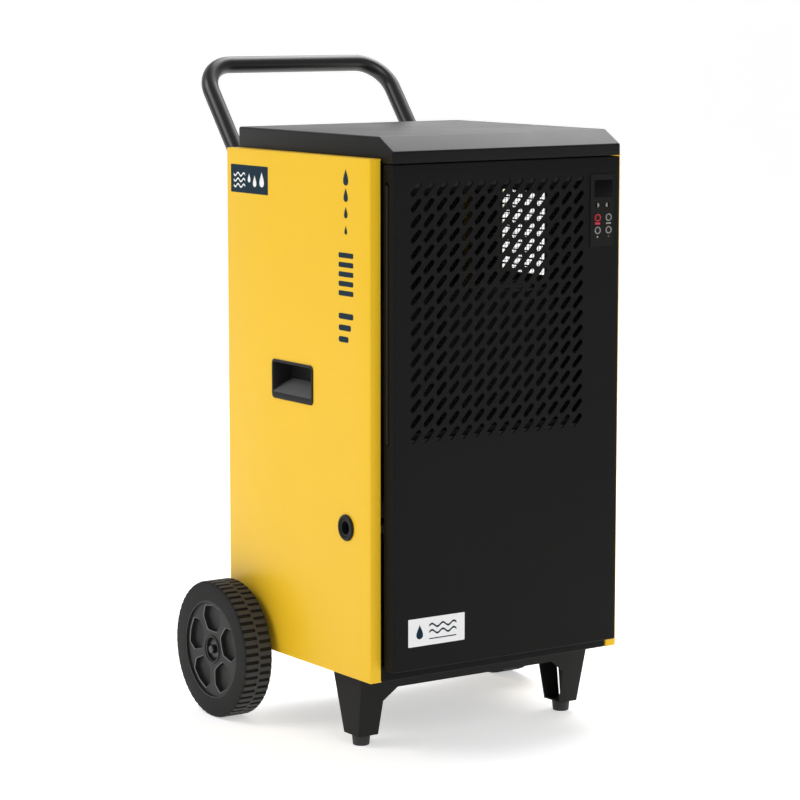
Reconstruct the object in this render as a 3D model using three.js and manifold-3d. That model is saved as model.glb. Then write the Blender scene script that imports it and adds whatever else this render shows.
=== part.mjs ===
// A commercial dehumidifier on two wheels: sheet-steel casing, push handle, front legs and the
// refrigeration parts inside. Millimetres, +Z up, the front grille faces -Y, +X is to the right
// of somebody who stands in front of it. In the code below y = 0 is the front face of the side
// panels and z = 0 is the floor; the last lines move the whole group so that the origin is at
// the middle of the bounding box, on the floor.
import * as THREE from 'three';
import { mergeVertices } from 'three/addons/utils/BufferGeometryUtils.js';
import Module from 'manifold-3d';

// ---- driving dimensions -------------------------------------------------------------------
const GAP = 0.3;                 // clearance between pieces that touch
const SHEET = 1.5;               // casing sheet thickness

const BODY_WIDTH = 430;          // outside of one side panel to outside of the other
const BODY_DEPTH = 370;          // front flange to rear edge of a side panel
const CASE_BOTTOM = 107;         // floor to the lower edge of the casing
const CASE_HEIGHT = 720;         // height of a side panel
const CASE_TOP = CASE_BOTTOM + CASE_HEIGHT;
const FLANGE = 18.5;             // folded edge of a side panel
const RETURN = 9.5;              // second fold, behind the front flange

const FRONT_WIDTH = 388;         // black front panel
const FRONT_PROUD = 25;          // how far it stands in front of the side panels
const FRONT_BACK = 2.2;          // shadow gap between it and the side panels
const FRONT_BOTTOM = 124;
const FRONT_TOP = 819.7;

const SLOT_COLUMNS = 14;         // air inlet: slots on a regular grid
const SLOT_ROWS = 17;
const SLOT_PITCH_X = 21.3;
const SLOT_PITCH_Z = 21.0;
const SLOT_FIRST_X = -156.3;
const SLOT_FIRST_Z = 785.3;
const SLOT_LENGTH = 23.5;
const SLOT_WIDTH = 7.5;
const SLOT_ANGLE = 47;           // degrees up to the right

const LID_WIDTH = 389;
const LID_TOP = 856.5;
const LID_BOTTOM = 821.2;
const LID_BEVEL_DEPTH = 34.5;
const LID_BEVEL_DROP = 19.5;

const GRIP_WIDTH = 107;          // recessed grips, one in each side panel
const GRIP_HEIGHT = 56;
const GRIP_Y = 195;
const GRIP_Z = 505;
const GRIP_DEPTH = 31;
const GRIP_CUT = [103, 52];      // cut-out in the side panel, hidden by the rim of the grip
const GRIP_WALL = 1.8;
const GRIP_MOUTH = [49.4, -18, 23.8]; // half width, floor and roof of the pocket at its mouth
const GRIP_BACK = [46.5, -3, 22.8];   // and at its back: the floor is a ramp

const PORT_Y = 58;               // drain port, left side panel
const PORT_Z = 317;
const PORT_RADIUS = 18.5;

const OUTLET_Y = [170, 281];     // barred air outlet, right side panel
const OUTLET_Z = [634, 756];
const OUTLET_BARS = 10;

const CONTROL_X = [141, 182.5];  // control plate on the front panel
const CONTROL_Z = [693.5, 795.3];
const DISPLAY_X = [147.7, 179.9];
const DISPLAY_Z = [762.8, 787.2];
const LAMP_X = [153.2, 171.1];
const LAMP_Z = 752;
const BUTTON_X = [153.8, 173.3];
const BUTTON_Z = [734.4, 716.6];
const BUTTON_RADIUS = 5.2;

const FILTER_X = [-195.5, 186];  // sliding air filter behind the front panel
const FILTER_Y = [-13.6, -8.6];
const FILTER_Z = [440, 792];
const FILTER_BORDER = 12;

const WHEEL_RADIUS = 100;        // 200 mm wheel
const WHEEL_FACE = 270;          // outer face, from the middle plane
const WHEEL_WIDTH = 45;
const RIM_RADIUS = 72;
const RIM_WEB = [3, 16];         // front and back of the web, in from the wheel's outer face
const RIM_POCKET_FLOOR = 10.5;
const RIM_POCKET = [[-20.5, 62], [0, 65.5], [20.5, 62], [25.5, 45.5], [13.5, 27], [-13.5, 27], [-25.5, 45.5]];
const HUB_FLOOR = 9;             // bottom of the round well that holds the axle clip
const AXLE_RADIUS = 6;           // it just clears the base pan
const AXLE_Y = 336;
const WHEEL_SIDES = 30;

const HANDLE_RADIUS = 12.5;      // 25 mm tube
const HANDLE_HALF = 162.4;
const HANDLE_FOOT_Y = BODY_DEPTH + 15.5;
const HANDLE_FOOT_Z = 560;
const HANDLE_KNEE_Z = 762;
const HANDLE_BAR_Y = 530;
const HANDLE_BAR_Z = 940.4;
const HANDLE_BEND = 50;

const LEG_TOP_Y = 43.7;          // front leg bracket
const LEG_LEAN = 0.19;           // how far it leans back for each mm down
const LEG_BOTTOM = 16;
const LEG_SHEET = 2.5;
const LEG_HALF = [193, 199];     // outer edge of a leg, at its foot and under the casing
const LEG_BACK = [99, 118];      // rear edge of a leg, at its foot and under the casing
const LEG_INNER = [161, 156.5];  // inner edge of a leg, at its foot and under the casing
const SKIRT_Z = 83.5;            // lower edge of the skirt between the legs
const FOOT_X = 177;
const FOOT_Y = 80;

const PAN_DEPTH = [1, 366.3];    // base pan, front to back
const PAN_HEIGHT = 23;
const PAN_WALL = 2;

const REAR_BOTTOM = 131;         // rear panel, with two columns of air slots
const REAR_SLOT_X = [-65, 65];
const REAR_SLOT_Z = 400;
const REAR_SLOT_ROWS = 12;
const REAR_SLOT_PITCH = 16;
const REAR_SLOT_LENGTH = 110;
const REAR_SLOT_HEIGHT = 7;
const GLAND = [-150, 175];       // x and z of the cable entry in the rear panel

const STRAP_Z = [715, 600];      // middle of each strap that holds the handle
const STRAP_HALF = 190;
const STRAP_HEIGHT = 24;
const STRAP_SHEET = 2.5;

const COIL_X = [-172, 150];      // evaporator and condenser
const COIL_Z = [353, 628];
const TRAY_Z = [326, 350];       // drip tray under the coils
const FAN_X = -20;
const FAN_Z = 487;
const FAN_RADIUS = 115;
const HUB_Y = [158, 184];
const SHROUD_Y = [150, 186];
const MOTOR_Y = [212, 268];
const MOTOR_RADIUS = 42;

const COMPRESSOR = [70, 235];    // x and y of its upright axis
const COMPRESSOR_RADIUS = 56;
const COMPRESSOR_FEET = [[-58, -42], [58, -42], [0, 42]];
const COMPRESSOR_FLOOR = 126;
const ACCUMULATOR = [-15, 235];

// ---- materials ----------------------------------------------------------------------------
function paint(color, roughness, metalness = 0) {
  return new THREE.MeshStandardMaterial({ color, roughness, metalness });
}

const YELLOW = paint(0xf5c640, 0.4);
const BLACK = paint(0x2a2b2a, 0.5);
const LEG_BLACK = paint(0x303130, 0.5);
const TUBE = paint(0x3a3b3c, 0.35);
const STEEL = paint(0xa8abad, 0.35, 1);
const ALUMINIUM = paint(0xc6c9cb, 0.4, 1);
const COPPER = paint(0xb5683c, 0.35, 1);
const TYRE = paint(0x3c3d3c, 0.8);
const RUBBER = paint(0x2c2c2c, 0.85);
const PLASTIC = paint(0x222323, 0.45);
const GREY_PLASTIC = paint(0x8f9496, 0.5);
const GLOSS = paint(0x1b1e20, 0.15);
const RED = paint(0xc62a3f, 0.4);
const WHITE = paint(0xf2f2f0, 0.4);
const GREEN = paint(0x2f7d4a, 0.5);
const NET = paint(0x565a5c, 0.7);

// ---- solids -------------------------------------------------------------------------------
const wasm = await Module();
wasm.setup();

const machine = new THREE.Group();

function solid(geometry) {
  const bare = geometry.clone();
  bare.deleteAttribute('normal');
  bare.deleteAttribute('uv');
  const merged = mergeVertices(bare, 1e-4);
  return new wasm.Manifold(new wasm.Mesh({
    numProp: 3,
    vertProperties: new Float32Array(merged.attributes.position.array),
    triVerts: new Uint32Array(merged.index.array),
  }));
}

function geometryOf(shape) {
  const mesh = shape.getMesh();
  const geometry = new THREE.BufferGeometry();
  geometry.setAttribute('position', new THREE.BufferAttribute(mesh.vertProperties, 3));
  geometry.setIndex(new THREE.BufferAttribute(mesh.triVerts, 1));
  geometry.computeVertexNormals();
  return geometry;
}

function add(name, shape, material) {
  const mesh = new THREE.Mesh(shape.isBufferGeometry ? shape : geometryOf(shape), material);
  mesh.name = name;
  machine.add(mesh);
  return mesh;
}

// A block between two limits on each axis, in either order.
function block(x, y, z) {
  const size = [x, y, z].map(([a, b]) => Math.abs(b - a));
  const middle = [x, y, z].map(([a, b]) => (a + b) / 2);
  return solid(new THREE.BoxGeometry(...size).translate(...middle));
}

// A cylinder or a cone along one axis, from one end to the other.
function round(axis, radius, from, to, centre, sides = 24, farRadius = radius) {
  const length = to - from;
  const geometry = new THREE.CylinderGeometry(farRadius, radius, length, sides);
  const middle = (from + to) / 2;
  if (axis === 'x') geometry.rotateZ(-Math.PI / 2).translate(middle, centre[0], centre[1]);
  if (axis === 'y') geometry.translate(centre[0], middle, centre[1]);
  if (axis === 'z') geometry.rotateX(Math.PI / 2).translate(centre[0], centre[1], middle);
  return solid(geometry);
}

// A body of revolution about the X axis; the profile is a list of [x, radius].
function turned(profile, centre, sides = 32) {
  const points = profile.map(([x, radius]) => new THREE.Vector2(radius, x));
  points.push(points[0].clone());
  const geometry = new THREE.LatheGeometry(points, sides);
  geometry.rotateZ(-Math.PI / 2).translate(0, centre[0], centre[1]);
  const shape = solid(geometry);
  return shape.volume() > 0 ? shape : solid(flipped(geometry));
}

function flipped(geometry) {
  const copy = geometry.clone();
  const index = copy.index.array;
  for (let i = 0; i < index.length; i += 3) {
    [index[i + 1], index[i + 2]] = [index[i + 2], index[i + 1]];
  }
  return copy;
}

// A flat outline in the XZ plane ([x, z] pairs), as a plate from y to y + depth.
function plateXZ(outline, y, depth) {
  const shape = new THREE.Shape(outline.map(([x, z]) => new THREE.Vector2(x, z)));
  const geometry = new THREE.ExtrudeGeometry(shape, { depth, bevelEnabled: false });
  geometry.rotateX(Math.PI / 2).translate(0, y + depth, 0);
  return solid(geometry);
}

// A flat outline in the YZ plane ([y, z] pairs), as a prism from x to x + depth.
function prismX(outline, x, depth) {
  const shape = new THREE.Shape(outline.map(([y, z]) => new THREE.Vector2(y, z)));
  const geometry = new THREE.ExtrudeGeometry(shape, { depth, bevelEnabled: false });
  geometry.applyMatrix4(new THREE.Matrix4().set(
    0, 0, 1, x,
    1, 0, 0, 0,
    0, 1, 0, 0,
    0, 0, 0, 1,
  ));
  return solid(geometry);
}

// A rounded rectangle in the YZ plane, pushed along X from one side to the other.
function roundedX(from, to, y, z, width, height, radius) {
  const corners = [[1, 1, 0], [-1, 1, 90], [-1, -1, 180], [1, -1, 270]];
  const outline = [];
  for (const [sy, sz, start] of corners) {
    for (const step of [0, 45, 90]) {
      const angle = THREE.MathUtils.degToRad(start + step);
      outline.push([
        y + sy * (width / 2 - radius) + radius * Math.cos(angle),
        z + sz * (height / 2 - radius) + radius * Math.sin(angle),
      ]);
    }
  }
  return prismX(outline, Math.min(from, to), Math.abs(to - from));
}

// A block that narrows along X from one rectangle to another. Each is x, half width, and the
// height of its lower and upper edge from the height z.
function taperedX(near, far, y, z) {
  const corners = [];
  for (const [x, half, low, high] of [near, far]) {
    corners.push([x, y - half, z + low], [x, y + half, z + low]);
    corners.push([x, y - half, z + high], [x, y + half, z + high]);
  }
  return wasm.Manifold.hull(corners);
}

// A path through the points, with each corner rounded to the given radius.
function bentPath(points, radius) {
  const at = points.map((p) => new THREE.Vector3(...p));
  const path = new THREE.CurvePath();
  let from = at[0];
  for (let i = 1; i < at.length - 1; i += 1) {
    const inward = at[i].clone().sub(at[i - 1]).normalize();
    const outward = at[i + 1].clone().sub(at[i]).normalize();
    const turn = inward.angleTo(outward);
    const tangent = radius * Math.tan(turn / 2);
    const handle = (4 / 3) * Math.tan(turn / 4) * radius;
    const start = at[i].clone().addScaledVector(inward, -tangent);
    const end = at[i].clone().addScaledVector(outward, tangent);
    path.add(new THREE.LineCurve3(from, start));
    path.add(new THREE.CubicBezierCurve3(
      start,
      start.clone().addScaledVector(inward, handle),
      end.clone().addScaledVector(outward, -handle),
      end,
    ));
    from = end;
  }
  path.add(new THREE.LineCurve3(from, at[at.length - 1]));
  return path;
}

function circle(radius, sides) {
  const points = [];
  for (let i = 0; i < sides; i += 1) {
    const angle = (2 * Math.PI * i) / sides;
    points.push(new THREE.Vector2(radius * Math.cos(angle), radius * Math.sin(angle)));
  }
  return points;
}

// A tube along a path; a bore of 0 makes it a rod.
function tube(path, radius, bore, sides, steps) {
  const shape = new THREE.Shape(circle(radius, sides));
  if (bore > 0) shape.holes.push(new THREE.Path(circle(bore, sides)));
  return solid(new THREE.ExtrudeGeometry(shape, { steps, bevelEnabled: false, extrudePath: path }));
}

// ---- casing -------------------------------------------------------------------------------

// A side panel is a tray folded from one sheet: a plate with a flange on all four edges, and a
// second fold behind the front flange. side is -1 for the left panel and 1 for the right one.
function sidePanel(side) {
  const outer = side * BODY_WIDTH / 2;
  const skin = outer - side * SHEET;
  const edge = outer - side * FLANGE;
  const height = [CASE_BOTTOM, CASE_TOP];
  const inside = [CASE_BOTTOM + SHEET, CASE_TOP - SHEET];
  let panel = block([outer, edge], [0, BODY_DEPTH], height);
  panel = panel.subtract(block([skin, edge - side], [SHEET, BODY_DEPTH - SHEET], inside));
  panel = panel.add(block([edge, edge + side * SHEET], [0, RETURN], inside));
  const [width, high] = GRIP_CUT;
  const grip = block(
    [outer + side, skin - side],
    [GRIP_Y - width / 2, GRIP_Y + width / 2],
    [GRIP_Z - high / 2, GRIP_Z + high / 2],
  );
  return panel.subtract(grip);
}

function leftSidePanel() {
  const limits = [-BODY_WIDTH / 2 - 1, -BODY_WIDTH / 2 + 3];
  return sidePanel(-1).subtract(round('x', PORT_RADIUS - 3.5, ...limits, [PORT_Y, PORT_Z]));
}

function rightSidePanel() {
  return sidePanel(1).subtract(block([BODY_WIDTH / 2 - 3, BODY_WIDTH / 2 + 1], OUTLET_Y, OUTLET_Z));
}

// The slots of the air inlet, each a straight cut through the front sheet.
function inletSlots() {
  const cuts = [];
  for (let column = 0; column < SLOT_COLUMNS; column += 1) {
    for (let row = 0; row < SLOT_ROWS; row += 1) {
      const geometry = new THREE.BoxGeometry(SLOT_LENGTH, 10, SLOT_WIDTH);
      geometry.rotateY(-THREE.MathUtils.degToRad(SLOT_ANGLE));
      geometry.translate(
        SLOT_FIRST_X + column * SLOT_PITCH_X,
        -FRONT_PROUD,
        SLOT_FIRST_Z - row * SLOT_PITCH_Z,
      );
      cuts.push(solid(geometry));
    }
  }
  return wasm.Manifold.union(cuts);
}

// The front panel is a black tray with the inlet slots, a slot in its left return for the air
// filter, and a window behind the control plate.
function frontPanel() {
  const half = FRONT_WIDTH / 2;
  let panel = block([-half, half], [-FRONT_PROUD, -FRONT_BACK], [FRONT_BOTTOM, FRONT_TOP]);
  panel = panel.subtract(block(
    [-half + SHEET, half - SHEET],
    [-FRONT_PROUD + SHEET, 0],
    [FRONT_BOTTOM + SHEET, FRONT_TOP - SHEET],
  ));
  panel = panel.subtract(inletSlots());
  panel = panel.subtract(block(
    [-half - 1, -half + 3],
    [FILTER_Y[0] - 1.8, FILTER_Y[1] + 1.8],
    [FILTER_Z[0] - 2, FILTER_Z[1] + 2],
  ));
  const window = block(
    [CONTROL_X[0] + 2.5, CONTROL_X[1] - 1.2],
    [-FRONT_PROUD - 1, -FRONT_PROUD + 5],
    [CONTROL_Z[0] + 6, CONTROL_Z[1] - 4],
  );
  return panel.subtract(window);
}

// The lid: a folded cover with a bevel along its front edge, open underneath.
function topCover() {
  const half = LID_WIDTH / 2;
  const front = -FRONT_PROUD;
  const outline = (inset, floor) => [
    [front + inset, floor],
    [BODY_DEPTH - inset, floor],
    [BODY_DEPTH - inset, LID_TOP - inset],
    [front + LID_BEVEL_DEPTH + inset / 4, LID_TOP - inset],
    [front + inset, LID_TOP - LID_BEVEL_DROP - inset / 2],
  ];
  const shell = prismX(outline(0, LID_BOTTOM), -half, LID_WIDTH);
  return shell.subtract(prismX(outline(SHEET, LID_BOTTOM - 5), -half + SHEET, LID_WIDTH - 2 * SHEET));
}

// The rear panel: a tray between the rear flanges, with two columns of air slots.
function rearPanel() {
  const half = BODY_WIDTH / 2 - FLANGE - 1.5;
  let panel = block([-half, half], [BODY_DEPTH - 15, BODY_DEPTH], [REAR_BOTTOM, FRONT_TOP]);
  panel = panel.subtract(block(
    [-half + SHEET, half - SHEET],
    [BODY_DEPTH - 20, BODY_DEPTH - SHEET],
    [REAR_BOTTOM + SHEET, FRONT_TOP - SHEET],
  ));
  for (const x of REAR_SLOT_X) {
    for (let row = 0; row < REAR_SLOT_ROWS; row += 1) {
      const z = REAR_SLOT_Z + row * REAR_SLOT_PITCH;
      panel = panel.subtract(block(
        [x - REAR_SLOT_LENGTH / 2, x + REAR_SLOT_LENGTH / 2],
        [BODY_DEPTH - 5, BODY_DEPTH + 1],
        [z, z + REAR_SLOT_HEIGHT],
      ));
    }
  }
  return panel.subtract(round('y', 9, BODY_DEPTH - 5, BODY_DEPTH + 1, GLAND));
}

// The base pan carries everything: a floor with a wall on all four sides.
function basePan() {
  const half = BODY_WIDTH / 2 - FLANGE - 0.7;
  const pan = block([-half, half], PAN_DEPTH, [CASE_BOTTOM, CASE_BOTTOM + PAN_HEIGHT]);
  return pan.subtract(block(
    [-half + PAN_WALL, half - PAN_WALL],
    [PAN_DEPTH[0] + PAN_WALL, PAN_DEPTH[1] - PAN_WALL],
    [CASE_BOTTOM + PAN_WALL, CASE_BOTTOM + PAN_HEIGHT + 1],
  ));
}

// ---- front legs ---------------------------------------------------------------------------

// Turns an upright plate into a leaning one: each point moves back as it gets lower.
function leaned(shape, lean) {
  return shape.transform([1, 0, 0, 0, 0, 1, 0, 0, 0, -lean, 1, 0, 0, lean * CASE_BOTTOM, 0, 1]);
}

// One bracket bent from thick sheet: a skirt under the casing and two tapered legs, each with an
// outer side, a rear flap and a foot plate, open towards the middle.
function frontLegBracket() {
  const top = CASE_BOTTOM - GAP;
  const [halfLow, halfTop] = LEG_HALF;
  const [innerLow, innerTop] = LEG_INNER;
  const [backLow, backTop] = LEG_BACK;
  const right = [
    [136, SKIRT_Z], [158.5, 65.5], [innerLow, LEG_BOTTOM], [halfLow, LEG_BOTTOM], [halfTop, top],
  ];
  const left = right.map(([x, z]) => [-x, z]).reverse();
  const front = [...left, ...right];
  const face = leaned(plateXZ(front, LEG_TOP_Y, LEG_SHEET), LEG_LEAN);
  const shelf = block([-halfTop, halfTop], [LEG_TOP_Y + 0.5, backTop], [top - LEG_SHEET, top]);
  let bracket = face.add(shelf);
  const footFront = LEG_TOP_Y + LEG_LEAN * (CASE_BOTTOM - LEG_BOTTOM);
  for (const side of [-1, 1]) {
    const outline = [
      [LEG_TOP_Y + 1, top], [backTop, top], [backLow, LEG_BOTTOM], [footFront + 1, LEG_BOTTOM],
    ];
    const cheekPlate = prismX(outline, side > 0 ? halfTop - LEG_SHEET : -halfTop, LEG_SHEET);
    const taper = side * (halfTop - halfLow) / (CASE_BOTTOM - LEG_BOTTOM);
    const cheek = cheekPlate.transform([
      1, 0, 0, 0, 0, 1, 0, 0, taper, 0, 1, 0, -taper * CASE_BOTTOM, 0, 0, 1,
    ]);
    const flap = [
      [side * innerTop, top],
      [side * innerLow, LEG_BOTTOM],
      [side * (halfLow - 6), LEG_BOTTOM],
      [side * (halfTop - 7), top],
    ];
    const flapPlate = plateXZ(side > 0 ? flap : flap.reverse(), backTop - LEG_SHEET, LEG_SHEET);
    const rear = leaned(flapPlate, -(backTop - backLow) / (CASE_BOTTOM - LEG_BOTTOM));
    const foot = block(
      [side * innerLow, side * halfLow],
      [footFront + 0.5, backLow - 0.5],
      [LEG_BOTTOM, LEG_BOTTOM + LEG_SHEET],
    );
    bracket = bracket.add(cheek).add(rear).add(foot);
  }
  return bracket;
}

function rubberFoot(side) {
  const points = [[0, 0], [11, 0], [12.6, 2], [13.2, LEG_BOTTOM - GAP], [0, LEG_BOTTOM - GAP]];
  const geometry = new THREE.LatheGeometry(points.map(([r, z]) => new THREE.Vector2(r, z)), 20);
  return solid(geometry.rotateX(Math.PI / 2).translate(side * FOOT_X, FOOT_Y, 0));
}

// ---- wheels -------------------------------------------------------------------------------

const AXLE_CENTRE = [AXLE_Y, WHEEL_RADIUS];

function onSide(side, profile) {
  return profile.map(([x, radius]) => [side * x, radius]);
}

function tyre(side) {
  const inner = WHEEL_FACE - WHEEL_WIDTH;
  return turned(onSide(side, [
    [WHEEL_FACE, RIM_RADIUS + GAP],
    [WHEEL_FACE, WHEEL_RADIUS - 5],
    [WHEEL_FACE - 5, WHEEL_RADIUS],
    [inner + 5, WHEEL_RADIUS],
    [inner, WHEEL_RADIUS - 5],
    [inner, RIM_RADIUS + GAP],
  ]), AXLE_CENTRE, WHEEL_SIDES);
}

// A moulded rim: a drum for the tyre, a web with five wide pockets between its spokes, and a hub
// with a round well for the clip.
function rim(side) {
  const inner = WHEEL_FACE - WHEEL_WIDTH;
  let body = turned(onSide(side, [
    [WHEEL_FACE - 0.5, RIM_RADIUS],
    [WHEEL_FACE - 0.5, RIM_RADIUS - 2],
    [WHEEL_FACE - RIM_WEB[0], RIM_RADIUS - 3.5],
    [WHEEL_FACE - RIM_WEB[0], 17.5],
    [WHEEL_FACE - HUB_FLOOR, 16.5],
    [WHEEL_FACE - HUB_FLOOR, AXLE_RADIUS + 0.4],
    [inner, AXLE_RADIUS + 0.4],
    [inner, 18],
    [WHEEL_FACE - RIM_WEB[1], 24],
    [WHEEL_FACE - RIM_WEB[1], RIM_RADIUS - 7],
    [inner + 2, RIM_RADIUS - 5],
    [inner + 2, RIM_RADIUS],
  ]), AXLE_CENTRE, WHEEL_SIDES);
  for (let i = 0; i < 5; i += 1) {
    const turn = THREE.MathUtils.degToRad(72 * i);
    const outline = RIM_POCKET.map(([across, out]) => [
      AXLE_CENTRE[0] + across * Math.cos(turn) - out * Math.sin(turn),
      AXLE_CENTRE[1] + across * Math.sin(turn) + out * Math.cos(turn),
    ]);
    const start = side > 0 ? WHEEL_FACE - RIM_POCKET_FLOOR : -WHEEL_FACE - 1;
    body = body.subtract(prismX(outline, start, RIM_POCKET_FLOOR + 1));
  }
  return body;
}

function axle() {
  return round('x', AXLE_RADIUS, -WHEEL_FACE, WHEEL_FACE, AXLE_CENTRE, WHEEL_SIDES);
}

// A U-shaped bracket under the base pan that the axle passes through.
function axleBracket(side) {
  const [y, z] = AXLE_CENTRE;
  const x = [side * 150, side * 190];
  const body = block(x, [y - 20, y + 20], [z - 16, CASE_BOTTOM - GAP]);
  const hollow = block([side * 154, side * 186], [y - 30, y + 30], [z - 30, CASE_BOTTOM - 4]);
  return body.subtract(hollow).subtract(round('x', AXLE_RADIUS + GAP + 0.1, -200, 200, [y, z], WHEEL_SIDES));
}

// The open spring ring that keeps a wheel on the axle.
function axleClip(side) {
  const from = side * (WHEEL_FACE - HUB_FLOOR + 0.8);
  const to = side * (WHEEL_FACE - HUB_FLOOR + 2.6);
  const ring = round('x', 13, Math.min(from, to), Math.max(from, to), AXLE_CENTRE, 20);
  const bore = round('x', AXLE_RADIUS + GAP + 0.1, -WHEEL_FACE - 5, WHEEL_FACE + 5, AXLE_CENTRE, WHEEL_SIDES);
  const mouth = block(
    [-WHEEL_FACE - 5, WHEEL_FACE + 5], [AXLE_Y, AXLE_Y + 20], [WHEEL_RADIUS - 4, WHEEL_RADIUS + 4],
  );
  return ring.subtract(bore).subtract(mouth);
}

// ---- handle -------------------------------------------------------------------------------

function handlePath() {
  return bentPath([
    [-HANDLE_HALF, HANDLE_FOOT_Y, HANDLE_FOOT_Z],
    [-HANDLE_HALF, HANDLE_FOOT_Y, HANDLE_KNEE_Z],
    [-HANDLE_HALF, HANDLE_BAR_Y, HANDLE_BAR_Z],
    [HANDLE_HALF, HANDLE_BAR_Y, HANDLE_BAR_Z],
    [HANDLE_HALF, HANDLE_FOOT_Y, HANDLE_KNEE_Z],
    [HANDLE_HALF, HANDLE_FOOT_Y, HANDLE_FOOT_Z],
  ], HANDLE_BEND);
}

// A cross strap with a saddle over each leg of the handle, bolted to the rear panel.
function handleStrap(z) {
  const height = [z - STRAP_HEIGHT / 2, z + STRAP_HEIGHT / 2];
  const back = BODY_DEPTH + GAP;
  let strap = block([-STRAP_HALF, STRAP_HALF], [back, back + STRAP_SHEET], height);
  let room = null;
  for (const side of [-1, 1]) {
    const centre = [side * HANDLE_HALF, HANDLE_FOOT_Y];
    strap = strap.add(round('z', HANDLE_RADIUS + 3.5, ...height, centre, 16));
    const leg = round('z', HANDLE_RADIUS + 0.8, z - 20, z + 20, centre, 16);
    room = room ? room.add(leg) : leg;
  }
  return strap.subtract(room).subtract(block([-200, 200], [back - 20, back], [z - 20, z + 20]));
}

// ---- side fittings ------------------------------------------------------------------------

// A moulded cup with a rim on the outside of the side panel and a pocket for the fingers, whose
// floor rises towards the back.
function gripCup(side) {
  const face = side * (BODY_WIDTH / 2 + GAP);
  const rimFace = face + side * 1.5;
  const back = side * (BODY_WIDTH / 2 - GRIP_DEPTH);
  const [width, high] = GRIP_CUT;
  const rimPlate = roundedX(face, rimFace, GRIP_Y, GRIP_Z, GRIP_WIDTH, GRIP_HEIGHT, 8);
  const body = taperedX(
    [face + side * 0.5, width / 2 - GAP, GAP - high / 2, high / 2 - GAP],
    [back, GRIP_BACK[0] + GRIP_WALL, GRIP_BACK[1] - GRIP_WALL, GRIP_BACK[2] + GRIP_WALL],
    GRIP_Y,
    GRIP_Z,
  );
  const floor = back + side * GRIP_WALL;
  const hollow = taperedX([rimFace + side, ...GRIP_MOUTH], [floor, ...GRIP_BACK], GRIP_Y, GRIP_Z);
  return rimPlate.add(body).subtract(hollow);
}

function portBushing() {
  const wall = -BODY_WIDTH / 2;
  return turned([
    [wall - GAP, PORT_RADIUS - 3.8], [wall - GAP, PORT_RADIUS], [wall - 3, PORT_RADIUS - 0.6],
    [wall - 3.6, PORT_RADIUS - 5.5], [wall + 9, PORT_RADIUS - 5.5], [wall + 9, PORT_RADIUS - 3.8],
  ], [PORT_Y, PORT_Z], 20);
}

function drainSpigot() {
  const wall = -BODY_WIDTH / 2;
  return turned([
    [wall - 2.4, 9.5], [wall - 2.4, PORT_RADIUS - 5.9], [wall + 8, PORT_RADIUS - 5.9],
    [wall + 8, 11], [wall + 26, 11], [wall + 26, 9.5],
  ], [PORT_Y, PORT_Z], 20);
}

// The bars of the air outlet, in a frame behind the opening of the right side panel.
function outletGuard() {
  const x = [BODY_WIDTH / 2 - SHEET - GAP - 3, BODY_WIDTH / 2 - SHEET - GAP];
  let guard = block(x, [OUTLET_Y[0] - 6, OUTLET_Y[1] + 6], [OUTLET_Z[0] - 6, OUTLET_Z[1] + 6]);
  const pitch = (OUTLET_Z[1] - OUTLET_Z[0]) / (OUTLET_BARS + 1);
  for (let i = 0; i <= OUTLET_BARS; i += 1) {
    const z = OUTLET_Z[0] + i * pitch;
    guard = guard.subtract(block([x[0] - 1, x[1] + 1], OUTLET_Y, [z + 1.2, z + pitch - 1.2]));
  }
  return guard;
}

// ---- air filter ---------------------------------------------------------------------------

function filterFrame() {
  const [x0, x1] = FILTER_X;
  const [z0, z1] = FILTER_Z;
  const b = FILTER_BORDER;
  const frame = block([x0, x1], FILTER_Y, [z0, z1]);
  return frame.subtract(block([x0 + b, x1 - b], [-20, 0], [z0 + b, z1 - b]));
}

function filterNet() {
  const b = FILTER_BORDER + GAP;
  const middle = (FILTER_Y[0] + FILTER_Y[1]) / 2;
  return block(
    [FILTER_X[0] + b, FILTER_X[1] - b],
    [middle - 0.5, middle + 0.5],
    [FILTER_Z[0] + b, FILTER_Z[1] - b],
  );
}

// A rail with a groove that the filter slides in; up is 1 for the lower rail, -1 for the upper.
function filterRail(z, up) {
  const rail = block([-190, 191], [-FRONT_PROUD + SHEET + GAP, -4.5], [z - up * 9, z + up * 4.4]);
  const groove = [FILTER_Y[0] - 0.6, FILTER_Y[1] + 0.6];
  return rail.subtract(block([-195, 188], groove, [z - up * 0.6, z + up * 6]));
}

// ---- control panel ------------------------------------------------------------------------

const PLATE_Y = [-FRONT_PROUD - GAP - 0.9, -FRONT_PROUD - GAP];

function controlPlate() {
  let plate = block(CONTROL_X, PLATE_Y, CONTROL_Z);
  plate = plate.subtract(block(DISPLAY_X, [-30, -20], DISPLAY_Z));
  for (const x of LAMP_X) plate = plate.subtract(round('y', 3.7, -30, -20, [x, LAMP_Z], 10));
  for (const x of BUTTON_X) {
    for (const z of BUTTON_Z) plate = plate.subtract(round('y', BUTTON_RADIUS + 0.5, -30, -20, [x, z], 12));
  }
  return plate;
}

function displayLens() {
  return block(
    [DISPLAY_X[0] + GAP, DISPLAY_X[1] - GAP],
    [PLATE_Y[0], -FRONT_PROUD + 3],
    [DISPLAY_Z[0] + GAP, DISPLAY_Z[1] - GAP],
  );
}

function indicator(x) {
  return round('y', 3.3, PLATE_Y[0], -FRONT_PROUD + 3, [x, LAMP_Z], 10);
}

// A push button: a cap through the plate and a wider collar behind it.
function button(x, z) {
  const cap = round('y', BUTTON_RADIUS, PLATE_Y[0] - 1, -21.5, [x, z], 12);
  return cap.add(round('y', BUTTON_RADIUS + 1.4, -24.6, -23, [x, z], 12));
}

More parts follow.
